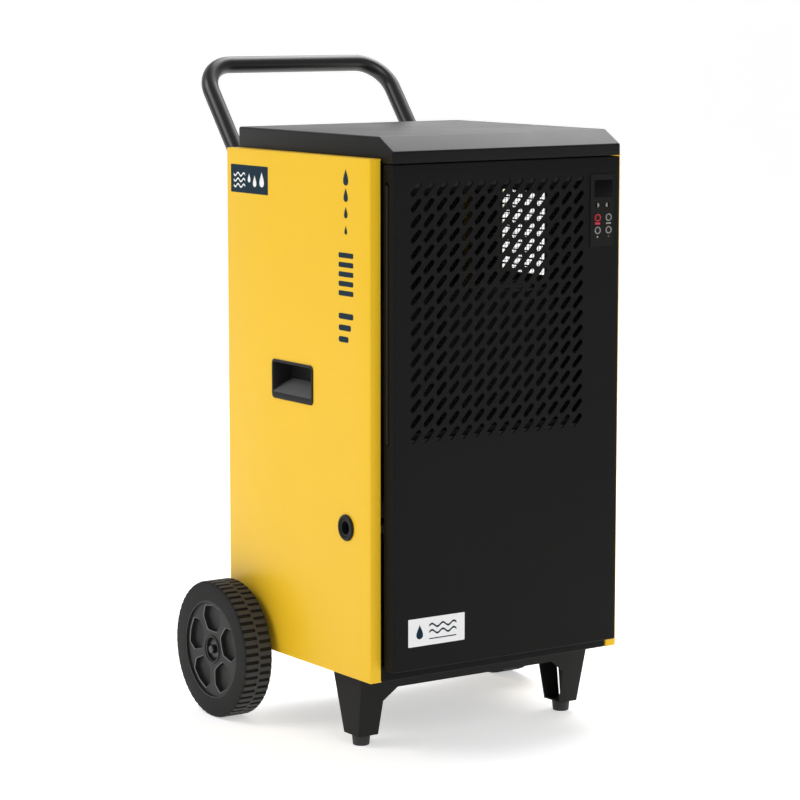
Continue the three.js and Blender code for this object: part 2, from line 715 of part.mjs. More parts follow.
function controlBoard() {
  return block(
    [CONTROL_X[0] + 1, CONTROL_X[1] - 1],
    [-19.4, -17.8],
    [CONTROL_Z[0] + 3, CONTROL_Z[1] - 9],
  );
}

// ---- cooling circuit and fan --------------------------------------------------------------

function coil(y0, y1) {
  const fins = block([COIL_X[0] + 8, COIL_X[1] - 8], [y0 + 1, y1 - 1], [COIL_Z[0] + 1, COIL_Z[1] - 1]);
  let body = fins;
  for (const x of [COIL_X[0] + 7, COIL_X[1] - 9]) {
    body = body.add(block([x, x + 2], [y0, y1], COIL_Z));
  }
  return body;
}

function dripTray() {
  const y = [52, 146];
  const x = [COIL_X[0] - 6, COIL_X[1] + 6];
  const tray = block(x, y, TRAY_Z);
  return tray.subtract(block([x[0] + 2, x[1] - 2], [y[0] + 2, y[1] - 2], [TRAY_Z[0] + 2, TRAY_Z[1] + 5]));
}

function fanShroud() {
  const sheet = [SHROUD_Y[0], SHROUD_Y[0] + 2];
  const plate = block([COIL_X[0] - 4, COIL_X[1] + 4], sheet, [COIL_Z[0] - 1, COIL_Z[1] + 4]);
  const centre = [FAN_X, FAN_Z];
  const ring = round('y', FAN_RADIUS + 8, ...SHROUD_Y, centre, 32);
  return plate.add(ring).subtract(round('y', FAN_RADIUS + 5, 140, 200, centre, 32));
}

// An axial impeller: a hub with five pitched blades.
function fanImpeller() {
  let wheel = round('y', 27, ...HUB_Y, [0, 0], 20);
  for (let i = 0; i < 5; i += 1) {
    const outline = [
      [16, -16], [60, -30], [96, -42], [FAN_RADIUS - 4, -22], [FAN_RADIUS, 2],
      [FAN_RADIUS - 3, 24], [92, 20], [60, 16], [16, 14],
    ];
    const shape = new THREE.Shape(outline.map(([x, z]) => new THREE.Vector2(x, z)));
    const geometry = new THREE.ExtrudeGeometry(shape, { depth: 2.5, bevelEnabled: false });
    geometry.translate(0, 0, -1.25);
    geometry.rotateX(Math.PI / 2 - THREE.MathUtils.degToRad(22));
    geometry.rotateY(THREE.MathUtils.degToRad(72 * i));
    geometry.translate(0, (HUB_Y[0] + HUB_Y[1]) / 2 - 1, 0);
    wheel = wheel.add(solid(geometry));
  }
  wheel = wheel.subtract(round('y', 4.4, 150, 200, [0, 0], 16));
  return wheel.translate([FAN_X, 0, FAN_Z]);
}

function fanMotor() {
  const centre = [FAN_X, FAN_Z];
  const [front, back] = MOTOR_Y;
  const body = round('y', MOTOR_RADIUS, front, back, centre, 28);
  const boss = round('y', 20, front - 8, front + 1, centre, 20);
  return body.add(boss).add(round('y', 4, HUB_Y[0] + 2, front - 7, centre, 16));
}

// Three arms from the shroud to a ring behind the motor.
function motorBracket() {
  const centre = [FAN_X, FAN_Z];
  const middle = MOTOR_Y[0] + 5;
  let bracket = round('y', MOTOR_RADIUS + 8, middle - 3, middle + 3, centre, 28);
  for (const angle of [90, 210, 330]) {
    const arm = new THREE.BoxGeometry(FAN_RADIUS - 28, 6, 12);
    arm.translate(MOTOR_RADIUS + 4 + (FAN_RADIUS - 28) / 2, middle, 0);
    const leg = new THREE.BoxGeometry(6, 67.4, 12);
    leg.translate(FAN_RADIUS + 15, SHROUD_Y[1], 0);
    const turn = -THREE.MathUtils.degToRad(angle);
    bracket = bracket.add(solid(arm.rotateY(turn).translate(FAN_X, 0, FAN_Z)));
    bracket = bracket.add(solid(leg.rotateY(turn).translate(FAN_X, 0, FAN_Z)));
  }
  return bracket.subtract(round('y', MOTOR_RADIUS + GAP, middle - 12, middle + 12, centre, 28));
}

function compressor() {
  const [x, y] = COMPRESSOR;
  const floor = COMPRESSOR_FLOOR + 2;
  const points = [
    [0, floor], [COMPRESSOR_RADIUS - 8, floor], [COMPRESSOR_RADIUS, 140], [COMPRESSOR_RADIUS, 258],
    [COMPRESSOR_RADIUS - 10, 280], [24, 294], [0, 296],
  ];
  const shell = new THREE.LatheGeometry(points.map(([r, z]) => new THREE.Vector2(r, z)), 20);
  let body = solid(shell.rotateX(Math.PI / 2).translate(x, y, 0));
  body = body.add(block([x - 66, x + 66], [y - 50, y + 50], [COMPRESSOR_FLOOR, COMPRESSOR_FLOOR + 3.5]));
  for (const [dx, dy] of COMPRESSOR_FEET) {
    body = body.subtract(round('z', 5, 100, 140, [x + dx, y + dy], 12));
  }
  return body;
}

function compressorMount([dx, dy]) {
  const centre = [COMPRESSOR[0] + dx, COMPRESSOR[1] + dy];
  return round('z', 10, CASE_BOTTOM + PAN_WALL + GAP, COMPRESSOR_FLOOR - GAP, centre, 14);
}

function accumulator() {
  const body = round('z', 19, 160, 262, ACCUMULATOR, 20);
  const ends = round('z', 10, 150, 274, ACCUMULATOR, 14);
  return body.add(ends);
}

function suctionPipe() {
  return tube(bentPath([
    [...ACCUMULATOR, 274 + GAP], [...ACCUMULATOR, 300], [-190, 235, 300], [-190, 77, 300],
    [-190, 77, 600], [COIL_X[0] + 7 - GAP, 77, 600],
  ], 14), 5, 0, 6, 36);
}

function dischargePipe() {
  return tube(bentPath([
    [100, 235, 293.3], [100, 235, 306], [172, 235, 306], [172, 122, 306], [172, 122, 600],
    [COIL_X[1] - 7 + GAP, 122, 600],
  ], 12), 4, 0, 6, 34);
}

function drainHose() {
  const wall = -BODY_WIDTH / 2;
  return tube(bentPath([
    [wall + 26 + GAP, PORT_Y, PORT_Z],
    [-150, PORT_Y, PORT_Z - 10],
    [-130, 100, PORT_Z - 16],
    [-100, 100, PORT_Z - 16],
    [-100, 100, TRAY_Z[0] - GAP],
  ], 7), 7, 0, 8, 18);
}

function electricalBox() {
  return block([-188, -88], [270, 350], [CASE_BOTTOM + PAN_WALL + GAP, 215]);
}

function mainsGland() {
  const body = round('y', 12, BODY_DEPTH + GAP, BODY_DEPTH + 5, GLAND, 6);
  const dome = round('y', 10.5, BODY_DEPTH + 4, BODY_DEPTH + 16, GLAND, 20, 7);
  const neck = round('y', 8.5, BODY_DEPTH - 8, BODY_DEPTH + 1, GLAND, 20);
  return body.add(dome).add(neck).subtract(round('y', 4, BODY_DEPTH - 20, BODY_DEPTH + 30, GLAND, 16));
}

function chassisPost() {
  return block([-86, -74], [14, 26], [CASE_BOTTOM + PAN_WALL + GAP, LID_TOP - SHEET - GAP]);
}

// ---- assembly -----------------------------------------------------------------------------
add('base_pan', basePan(), BLACK);
add('front_leg_bracket', frontLegBracket(), LEG_BLACK);
add('foot_left', rubberFoot(-1), RUBBER);
add('foot_right', rubberFoot(1), RUBBER);
add('axle', axle(), STEEL);
for (const [name, side] of [['left', -1], ['right', 1]]) {
  add(`axle_bracket_${name}`, axleBracket(side), LEG_BLACK);
  add(`tyre_${name}`, tyre(side), TYRE);
  add(`rim_${name}`, rim(side), PLASTIC);
  add(`axle_clip_${name}`, axleClip(side), STEEL);
  add(`grip_cup_${name}`, gripCup(side), PLASTIC);
}
add('compressor', compressor(), PLASTIC);
for (const [i, name] of ['left', 'right', 'rear'].entries()) {
  add(`compressor_mount_${name}`, compressorMount(COMPRESSOR_FEET[i]), RUBBER);
}
add('accumulator', accumulator(), COPPER);
add('electrical_box', electricalBox(), GREY_PLASTIC);
add('chassis_post', chassisPost(), STEEL);
add('drip_tray', dripTray(), GREY_PLASTIC);
add('evaporator_coil', coil(58, 96), ALUMINIUM);
add('condenser_coil', coil(102, 142), ALUMINIUM);
add('fan_shroud', fanShroud(), BLACK);
add('fan_impeller', fanImpeller(), PLASTIC);
add('fan_motor', fanMotor(), STEEL);
add('motor_bracket', motorBracket(), STEEL);
add('suction_pipe', suctionPipe(), COPPER);
add('discharge_pipe', dischargePipe(), COPPER);
add('drain_hose', drainHose(), GREY_PLASTIC);
add('left_side_panel', leftSidePanel(), YELLOW);
add('right_side_panel', rightSidePanel(), YELLOW);
add('drain_port_bushing', portBushing(), PLASTIC);
add('drain_spigot', drainSpigot(), GREY_PLASTIC);
add('outlet_guard', outletGuard(), BLACK);
add('filter_frame', filterFrame(), PLASTIC);
add('filter_net', filterNet(), NET);
add('filter_rail_lower', filterRail(FILTER_Z[0], 1), PLASTIC);
add('filter_rail_upper', filterRail(FILTER_Z[1], -1), PLASTIC);
add('front_panel', frontPanel(), BLACK);
add('control_board', controlBoard(), GREEN);
add('control_plate', controlPlate(), PLASTIC);
add('display_lens', displayLens(), GLOSS);
add('indicator_left', indicator(LAMP_X[0]), WHITE);
add('indicator_right', indicator(LAMP_X[1]), WHITE);
add('power_button', button(BUTTON_X[0], BUTTON_Z[0]), RED);
add('mode_button', button(BUTTON_X[1], BUTTON_Z[0]), WHITE);
add('minus_button', button(BUTTON_X[0], BUTTON_Z[1]), WHITE);
add('plus_button', button(BUTTON_X[1], BUTTON_Z[1]), WHITE);
add('rear_panel', rearPanel(), BLACK);
add('mains_inlet_gland', mainsGland(), PLASTIC);
add('handle_tube', tube(handlePath(), HANDLE_RADIUS, HANDLE_RADIUS - 2, 8, 36), TUBE);
add('handle_strap_upper', handleStrap(STRAP_Z[0]), LEG_BLACK);
add('handle_strap_lower', handleStrap(STRAP_Z[1]), LEG_BLACK);
add('top_cover', topCover(), BLACK);

const FRONT_MOST = PLATE_Y[0] - 1;
const REAR_MOST = HANDLE_BAR_Y + HANDLE_RADIUS;
machine.position.y = -(FRONT_MOST + REAR_MOST) / 2;

export default machine;
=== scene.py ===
# A commercial dehumidifier on two wheels: a steel casing with yellow side panels and a black
# slotted front, a push handle, two front legs, and the cooling circuit and fan inside.
# The pieces are made in the order in which the machine is put together.
import math
import bmesh
import bpy
import numpy as np
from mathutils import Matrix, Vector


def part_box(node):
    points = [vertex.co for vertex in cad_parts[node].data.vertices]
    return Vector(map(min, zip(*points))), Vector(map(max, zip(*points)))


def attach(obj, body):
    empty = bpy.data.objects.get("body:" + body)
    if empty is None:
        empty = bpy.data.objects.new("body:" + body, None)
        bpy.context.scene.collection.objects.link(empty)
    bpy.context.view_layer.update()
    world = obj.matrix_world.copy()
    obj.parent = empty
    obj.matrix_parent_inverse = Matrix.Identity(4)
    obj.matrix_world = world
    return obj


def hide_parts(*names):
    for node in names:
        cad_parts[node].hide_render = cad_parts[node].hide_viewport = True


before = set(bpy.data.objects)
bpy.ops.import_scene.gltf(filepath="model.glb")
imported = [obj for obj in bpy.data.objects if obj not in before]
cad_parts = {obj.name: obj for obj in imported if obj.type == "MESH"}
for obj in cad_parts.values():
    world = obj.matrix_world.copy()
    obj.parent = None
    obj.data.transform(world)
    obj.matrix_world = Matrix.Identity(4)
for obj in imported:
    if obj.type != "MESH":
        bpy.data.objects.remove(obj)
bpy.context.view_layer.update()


# ---- studio --------------------------------------------------------------------------------
# A pale floor that curves up into a backdrop, soft boxes on the left, above and in front, and
# a long lens that looks at the machine from its front left, a little from above.
VIEW_TARGET = (-0.034, -0.066, 0.465)
VIEW_DISTANCE = 4.2
VIEW_AZIMUTH = math.radians(-34.455)
VIEW_ELEVATION = math.radians(8.005)
SENSOR_WIDTH = 36
FOCAL_LENGTH = 130.8
FLOOR_FRONT, FLOOR_BACK, FLOOR_HALF = -9.0, 8.0, 20.0
FLOOR_CURVE = 3.0
WALL_TOP = 14.0

camera = bpy.data.objects.new("camera", bpy.data.cameras.new("camera"))
bpy.context.scene.collection.objects.link(camera)
camera.data.sensor_width = SENSOR_WIDTH
camera.data.lens = FOCAL_LENGTH
camera.data.clip_end = 60
camera.location = [
    VIEW_TARGET[0] + VIEW_DISTANCE * math.sin(VIEW_AZIMUTH) * math.cos(VIEW_ELEVATION),
    VIEW_TARGET[1] - VIEW_DISTANCE * math.cos(VIEW_AZIMUTH) * math.cos(VIEW_ELEVATION),
    VIEW_TARGET[2] + VIEW_DISTANCE * math.sin(VIEW_ELEVATION),
]
camera.rotation_euler = (math.pi / 2 - VIEW_ELEVATION, 0, VIEW_AZIMUTH)
bpy.context.scene.camera = camera
bpy.context.scene.view_settings.view_transform = "Standard"


def quads(rows, columns, wrap=False):
    """Faces of a grid of rows by columns points, numbered row by row; wrap joins the last column to
    the first."""
    index = np.arange(rows * columns).reshape(rows, columns)
    if wrap:
        index = np.concatenate([index, index[:, :1]], axis=1)
    corners = [index[:-1, :-1], index[1:, :-1], index[1:, 1:], index[:-1, 1:]]
    return np.stack([c.ravel() for c in corners], axis=1)


def mesh_piece(name, points, faces, material, outward=None, wall=0.0, bevel=0.0, crease=35):
    """One object from points and faces. Points that coincide are merged; the faces look along outward,
    or out of a closed body; a sheet gets its wall inwards; edges sharper than the crease stay sharp."""
    mesh = bpy.data.meshes.new(name)
    rows = faces.tolist() if isinstance(faces, np.ndarray) else [list(map(int, f)) for f in faces]
    mesh.from_pydata(np.asarray(points, float).reshape(-1, 3).tolist(), [], rows)
    work = bmesh.new()
    work.from_mesh(mesh)
    bmesh.ops.remove_doubles(work, verts=work.verts, dist=3e-6)
    bmesh.ops.delete(work, geom=[v for v in work.verts if not v.link_faces], context="VERTS")
    if outward is None:
        bmesh.ops.recalc_face_normals(work, faces=work.faces)
    work.to_mesh(mesh)
    work.free()
    if outward is not None:
        normals = np.empty(3 * len(mesh.polygons))
        areas = np.empty(len(mesh.polygons))
        mesh.polygons.foreach_get("normal", normals)
        mesh.polygons.foreach_get("area", areas)
        if (normals.reshape(-1, 3) * areas[:, None]).sum(axis=0) @ np.array(outward) < 0:
            mesh.flip_normals()
    thing = bpy.data.objects.new(name, mesh)
    bpy.context.scene.collection.objects.link(thing)
    if wall:
        thicken = thing.modifiers.new("wall", "SOLIDIFY")
        thicken.thickness = wall
        thicken.offset = -1
        thicken.use_even_offset = True
    if bevel:
        soften = thing.modifiers.new("edges", "BEVEL")
        soften.width = bevel
        soften.segments = 2
        soften.limit_method = "ANGLE"
        soften.angle_limit = math.radians(40)
    if wall or bevel:
        done = thing.evaluated_get(bpy.context.evaluated_depsgraph_get())
        thing.data = bpy.data.meshes.new_from_object(done)
        thing.modifiers.clear()
    thing.data.shade_smooth()
    thing.data.set_sharp_from_angle(angle=math.radians(crease))
    thing.data.materials.clear()
    thing.data.materials.append(material)
    return thing


def plain(name, colour, roughness, glow):
    """A plain matt surface for the studio that also glows a little, as if lit from behind."""
    material = bpy.data.materials.new(name)
    material.use_nodes = True
    shader = material.node_tree.nodes["Principled BSDF"]
    shader.inputs["Base Color"].default_value = (*colour, 1)
    shader.inputs["Roughness"].default_value = roughness
    shader.inputs["Specular IOR Level"].default_value = 0.1
    shader.inputs["Emission Color"].default_value = (1, 1, 1, 1)
    shader.inputs["Emission Strength"].default_value = glow
    return material


def studio_floor():
    """A flat floor carried back to a quarter circle and up into a wall."""
    turn = np.linspace(0, math.pi / 2, 17)
    y = np.concatenate([[FLOOR_FRONT], FLOOR_BACK - FLOOR_CURVE + FLOOR_CURVE * np.sin(turn), [FLOOR_BACK]])
    z = np.concatenate([[0.0], FLOOR_CURVE - FLOOR_CURVE * np.cos(turn), [WALL_TOP]])
    x = np.linspace(-FLOOR_HALF, FLOOR_HALF, 15)
    points = np.stack([
        np.broadcast_to(x, (len(y), len(x))),
        np.broadcast_to(y[:, None], (len(y), len(x))),
        np.broadcast_to(z[:, None], (len(y), len(x))),
    ], axis=2)
    points = points @ np.array([
        [math.cos(VIEW_AZIMUTH), math.sin(VIEW_AZIMUTH), 0],
        [-math.sin(VIEW_AZIMUTH), math.cos(VIEW_AZIMUTH), 0],
        [0, 0, 1],
    ])
    paper = plain("paper", (0.9, 0.9, 0.9), 0.9, 0.5)
    return mesh_piece("studio_floor", points, quads(len(y), len(x)), paper, (0, 0, 1))


def soft_box(name, place, target, width, height, watts):
    """An area lamp at place that looks at target."""
    lamp = bpy.data.objects.new(name, bpy.data.lights.new(name, "AREA"))
    lamp.data.shape = "RECTANGLE"
    lamp.data.size = width
    lamp.data.size_y = height
    lamp.data.energy = watts
    lamp.location = place
    aim = np.array(target) - np.array(place)
    lamp.rotation_euler = (
        math.acos(-aim[2] / np.linalg.norm(aim)), 0, math.atan2(aim[1], aim[0]) - math.pi / 2)
    bpy.context.scene.collection.objects.link(lamp)


studio_floor()
soft_box("key_left", (-4.3, 1.6, 4.4), (0, 0, 0.45), 3.0, 3.0, 118)
soft_box("top", (1.9, 1.1, 3.6), (0, 0, 0.8), 2.6, 2.6, 105)
soft_box("front", (-1.0, -4.5, 3.6), (0, 0, 0.45), 2.6, 2.2, 62)
world = bpy.data.worlds.new("studio")
world.use_nodes = True
world.node_tree.nodes["Background"].inputs["Color"].default_value = (1, 1, 1, 1)
world.node_tree.nodes["Background"].inputs["Strength"].default_value = 0.25
bpy.context.scene.world = world


# ---- base pan ------------------------------------------------------------------------------
# The floor of the casing: a tray pressed from 2 mm steel and powder-coated black, with a low
# wall on all four sides that the panels are screwed to.
MM = 0.001
BLACK = (0.0066, 0.0068, 0.0066)
PAN_SHEET = 2 * MM
FOLD = 2.2 * MM


def node_box(node):
    """Lowest and highest corner of a CAD piece, as arrays."""
    low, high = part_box(node)
    return np.array(low), np.array(high)


def put(thing, slot, *nodes, body="cabinet"):
    """The piece moves with the body and stands for the CAD nodes, which it hides; slot is not used."""
    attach(thing, body)
    if nodes:
        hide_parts(*nodes)
    return thing


def graph(material):
    """The nodes of a material, the function that links two sockets, and the shader."""
    tree = material.node_tree
    return tree.nodes, tree.links.new, tree.nodes["Principled BSDF"]


def finish(name, colour, roughness, metallic=0.0, grain=900.0, depth=0.00012, mottle=0.06, specular=0.3):
    """A finish with a fine grain in its relief, a slow change of shade over the piece, and a gloss
    that varies a little. grain is in lumps per metre, depth in metres, mottle a share of the shade."""
    material = bpy.data.materials.new(name)
    material.use_nodes = True
    nodes, link, shader = graph(material)
    place = nodes.new("ShaderNodeTexCoord")
    fine = nodes.new("ShaderNodeTexNoise")
    fine.inputs["Scale"].default_value = grain
    fine.inputs["Detail"].default_value = 3
    slow = nodes.new("ShaderNodeTexNoise")
    slow.inputs["Scale"].default_value = 7
    slow.inputs["Detail"].default_value = 5
    link(place.outputs["Object"], fine.inputs["Vector"])
    link(place.outputs["Object"], slow.inputs["Vector"])
    relief = nodes.new("ShaderNodeBump")
    relief.inputs["Strength"].default_value = 0.5
    relief.inputs["Distance"].default_value = depth
    link(fine.outputs["Fac"], relief.inputs["Height"])
    link(relief.outputs["Normal"], shader.inputs["Normal"])
    shade = nodes.new("ShaderNodeMix")
    shade.data_type = "RGBA"
    shade.inputs["A"].default_value = (*[c * (1 - mottle) for c in colour], 1)
    shade.inputs["B"].default_value = (*[min(1, c * (1 + mottle)) for c in colour], 1)
    link(slow.outputs["Fac"], shade.inputs["Factor"])
    link(shade.outputs["Result"], shader.inputs["Base Color"])
    gloss = nodes.new("ShaderNodeMapRange")
    gloss.inputs["To Min"].default_value = roughness - 0.06
    gloss.inputs["To Max"].default_value = roughness + 0.06
    link(slow.outputs["Fac"], gloss.inputs["Value"])
    link(gloss.outputs["Result"], shader.inputs["Roughness"])
    shader.inputs["Metallic"].default_value = metallic
    shader.inputs["Specular IOR Level"].default_value = specular
    return material


def sheet(us, vs, patches=(), cuts=()):
    """A flat sheet on the grid lines us and vs, as (u, v) points and faces. A patch (i0, i1, j0, j1,
    outline) takes those grid cells out and joins the patch's edge, point by point, to the outline of a
    hole; a cut (i0, i1, j0, j1) only takes them out."""
    u, v = np.meshgrid(us, vs, indexing="ij")
    points = [np.stack([u.ravel(), v.ravel()], axis=1)]
    index = np.arange(u.size).reshape(u.shape)
    whole = np.ones((len(us) - 1, len(vs) - 1), bool)
    rings = []
    count = u.size
    for i0, i1, j0, j1, outline in patches:
        whole[i0:i1, j0:j1] = False
        edge = np.concatenate([
            index[i0:i1, j0], index[i1, j0:j1],
            index[i0 + 1:i1 + 1, j1][::-1], index[i0, j0 + 1:j1 + 1][::-1]])
        hole = count + np.arange(len(outline))
        rings.append(np.stack([edge, np.roll(edge, -1), np.roll(hole, -1), hole], axis=1))
        points.append(outline)
        count += len(outline)
    for i0, i1, j0, j1 in cuts:
        whole[i0:i1, j0:j1] = False
    corners = [index[:-1, :-1], index[1:, :-1], index[1:, 1:], index[:-1, 1:]]
    cells = np.stack([c[whole] for c in corners], axis=1)
    return np.concatenate(points), np.concatenate([cells, *rings])


def tray(us, vs, fold, drop, patches=(), cuts=(), lines=(), lip=None, lip_side=(0, -1), gap=None):
    """A sheet whose four edges fold down over a quarter circle and run on to the depth drop; a corner
    is part of a ball. Returns (u, v, depth) points and faces. lines are more depths with points on the
    walls, lip is the width of a second fold on the wall that faces lip_side, and gap(u, v, depth, side)
    says which faces of the walls are left out."""
    flat, cells = sheet(us, vs, patches, cuts)
    u0, u1, v0, v1 = us[0], us[-1], vs[0], vs[-1]
    runs = [
        (us, np.full(len(us), v0), (0, -1)), (np.full(len(vs), u1), vs, (1, 0)),
        (us[::-1], np.full(len(us), v1), (0, 1)), (np.full(len(vs), u0), vs[::-1], (-1, 0)),
    ]
    corner = [(u1, v0), (u1, v1), (u0, v1), (u0, v0)]
    base, side, lipped = [], [], []
    for (u, v, way), at in zip(runs, corner):
        turn = math.atan2(way[1], way[0]) + np.linspace(0, math.pi / 2, 5)
        base += [np.stack([u, v], axis=1), np.tile(at, (5, 1))]
        side += [np.tile(way, (len(u), 1)).astype(float), np.stack([np.cos(turn), np.sin(turn)], axis=1)]
        lipped += [np.full(len(u), lip is not None and way == lip_side), np.zeros(5, bool)]
    base, side, lipped = np.concatenate(base), np.concatenate(side), np.concatenate(lipped)
    bend = np.linspace(0, math.pi / 2, 5)
    out = np.concatenate([fold * np.sin(bend), np.full(len(lines) + 1, fold)])
    deep = np.concatenate([fold * (1 - np.cos(bend)), list(lines), [drop - fold]])
    out_lip = np.append(fold * np.cos(bend), fold - (lip or 0))
    deep_lip = np.append(drop - fold + fold * np.sin(bend), drop)
    outs = np.where(lipped[:, None], np.append(out, out_lip), np.append(out, np.full(6, fold)))
    deeps = np.where(lipped[:, None], np.append(deep, deep_lip), np.append(deep, np.full(6, drop)))
    walls = base[:, None, :] + side[:, None, :] * outs[:, :, None]
    walls = np.concatenate([walls, deeps[:, :, None]], axis=2)
    rows, columns = outs.shape
    index = np.arange(rows * columns).reshape(rows, columns)
    after = np.roll(index, -1, axis=0)
    faces = np.stack([after[:, :-1], index[:, :-1], index[:, 1:], after[:, 1:]], axis=2)
    start = np.concatenate([base, side], axis=1)
    step = np.abs(start - np.roll(start, -1, axis=0)).sum(axis=1)
    keep = np.repeat(step[:, None] > 1e-9, columns - 1, axis=1)
    if gap is not None:
        middle = walls.reshape(-1, 3)[faces].mean(axis=2)
        keep &= ~gap(middle[..., 0], middle[..., 1], middle[..., 2], side[:, None, :])
    flat = np.concatenate([flat, np.zeros((len(flat), 1))], axis=1)
    return np.concatenate([flat, walls.reshape(-1, 3)]), np.concatenate([cells, faces[keep] + len(flat)])


def block(low, high):
    """Points and faces of one box."""
    x, y, z = np.meshgrid(*zip(low, high), indexing="ij")
    points = np.stack([x.ravel(), y.ravel(), z.ravel()], axis=1)
    faces = np.array([[0, 1, 3, 2], [4, 6, 7, 5], [0, 4, 5, 1], [2, 3, 7, 6], [0, 2, 6, 4], [1, 5, 7, 3]])
    return points, faces


def together(*shells):
    """Several (points, faces) pairs as one pair."""
    points, faces, count = [], [], 0
    for p, f in shells:
        p = np.asarray(p, float).reshape(-1, 3)
        points.append(p)
        faces += [[int(i) + count for i in face] for face in f]
        count += len(p)
    return np.concatenate(points), faces


BLACK_COAT = finish("black_powder_coat", BLACK, 0.55, grain=1100, depth=0.00016, mottle=0.1, specular=0.1)
low, high = node_box("base_pan")
us = np.linspace(low[0] + FOLD, high[0] - FOLD, 5)
vs = np.linspace(low[1] + FOLD, high[1] - FOLD, 5)
points, faces = tray(us, vs, FOLD, high[2] - low[2])
points[:, 2] += low[2]
put(mesh_piece("base_pan_sheet", points, faces, BLACK_COAT, (0, 0, -1), PAN_SHEET), "black_paint", "base_pan")


# ---- front legs ----------------------------------------------------------------------------
# One bracket bent from 2.5 mm sheet: a skirt under the casing and two legs that taper and lean
# back, each a channel open towards the middle. A plate closes each leg above its rubber foot.
LEG_SHEET = 2.5 * MM
LEG_FOLD = 3 * MM
LEG_LEAN = 0.19
LEG_HALF = (199 * MM, 193 * MM)
LEG_INNER = (158.5 * MM, 161 * MM)
LEG_FLAP_INNER = (156.5 * MM, 161 * MM)
LEG_FLAP_OUTER = (192 * MM, 187 * MM)
LEG_REAR = (74.3 * MM, 55.3 * MM)
LEG_NOTCH = 65.5 * MM
SKIRT_LOW = 83.5 * MM
SKIRT_HALF = 136 * MM
SHELF_HALF = 196 * MM
PLATE_X = (161 * MM, 190 * MM)
LEG_COAT = finish(
    "leg_powder_coat", (0.016, 0.016, 0.0157), 0.55, grain=1000, depth=0.00014, mottle=0.1, specular=0.12)


def rounded_path(points, radii, steps=6):
    """A polyline with each inner corner replaced by an arc: the radius is given per corner, or once for
    all."""
    points = np.asarray(points, float)
    radii = np.broadcast_to(radii, len(points) - 2)
    path = [points[:1]]
    for i in range(1, len(points) - 1):
        inward = points[i] - points[i - 1]
        outward = points[i + 1] - points[i]
        inward /= np.linalg.norm(inward)
        outward /= np.linalg.norm(outward)
        turn = math.acos(np.clip(inward @ outward, -1, 1))
        run = radii[i - 1] * math.tan(turn / 2)
        side = outward - inward * (inward @ outward)
        side /= np.linalg.norm(side)
        angle = np.linspace(0, turn, steps + 1)[:, None]
        start = points[i] - inward * run
        path.append(start + radii[i - 1] * (inward * np.sin(angle) + side * (1 - np.cos(angle))))
    path.append(points[-1:])
    return np.concatenate(path)


def leg_bracket(low, high, front):
    """The bracket as a sheet: for each leg a folded section of front and outer side that changes evenly
    with the height, a rear flap that stops short of the side, and a skirt between the legs whose lower
    edge steps up towards the middle."""
    top, foot = high[2], low[2]
    heights = np.concatenate([np.linspace(top, LEG_NOTCH, 6), np.linspace(LEG_NOTCH, foot, 7)[1:]])
    share = ((top - heights) / (top - foot))[:, None]

    def even(pair):
        return pair[0] + (pair[1] - pair[0]) * share[:, 0]

    y_front = front + LEG_LEAN * (top - heights)
    y_rear = front + even(LEG_REAR)
    half, flap_in, flap_out = even(LEG_HALF), even(LEG_FLAP_INNER), even(LEG_FLAP_OUTER)
    below = np.clip((LEG_NOTCH - heights) / (LEG_NOTCH - foot), 0, 1)
    inner = LEG_INNER[0] + (LEG_INNER[1] - LEG_INNER[0]) * below
    shells = []
    for side in (-1, 1):
        corners = np.stack([
            np.stack([side * inner, y_front], axis=1),
            np.stack([side * half, y_front], axis=1),
            np.stack([side * half, y_rear], axis=1)], axis=1)
        rows = np.stack([
            np.concatenate([rounded_path(three, LEG_FOLD, 4), np.full((7, 1), z)], axis=1)
            for three, z in zip(corners, heights)])
        faces = quads(len(heights), rows.shape[1])
        shells.append((rows, faces if side > 0 else faces[:, ::-1]))
        rear = np.stack([
            np.stack([side * flap_in, y_rear - LEG_SHEET, heights], axis=1),
            np.stack([side * flap_out, y_rear - LEG_SHEET, heights], axis=1)], axis=1)
        faces = quads(len(heights), 2)
        shells.append((rear, faces if side > 0 else faces[:, ::-1]))
    x = np.concatenate([
        [-LEG_INNER[0]], np.linspace(-SKIRT_HALF, SKIRT_HALF, 13), [LEG_INNER[0]]])
    lower = np.where(np.abs(x) > SKIRT_HALF, LEG_NOTCH, SKIRT_LOW)
    z = top + (lower[None, :] - top) * np.linspace(0, 1, 6)[:, None]
    skirt = np.stack([np.broadcast_to(x, z.shape), front + LEG_LEAN * (top - z), z], axis=2)
    shells.append((skirt, quads(6, len(x))))
    return together(*shells)


low, high = node_box("front_leg_bracket")
points, faces = leg_bracket(low, high, low[1])
legs = mesh_piece("front_leg_sheet", points, faces, LEG_COAT, (0, -1, 0), LEG_SHEET)
put(legs, "leg_paint", "front_leg_bracket")
shelf = block((-SHELF_HALF, low[1] + 3 * MM, high[2] - LEG_SHEET), (SHELF_HALF, high[1], high[2]))
foot_front = low[1] + LEG_LEAN * (high[2] - low[2])
plates = [
    block((x0, foot_front + 2.6 * MM, low[2]), (x1, high[1] - 22 * MM, low[2] + LEG_SHEET))
    for x0, x1 in ((-PLATE_X[1], -PLATE_X[0]), PLATE_X)]
plate = mesh_piece("front_leg_plates", *together(shelf, *plates), LEG_COAT, bevel=0.5 * MM)
put(plate, "leg_paint")


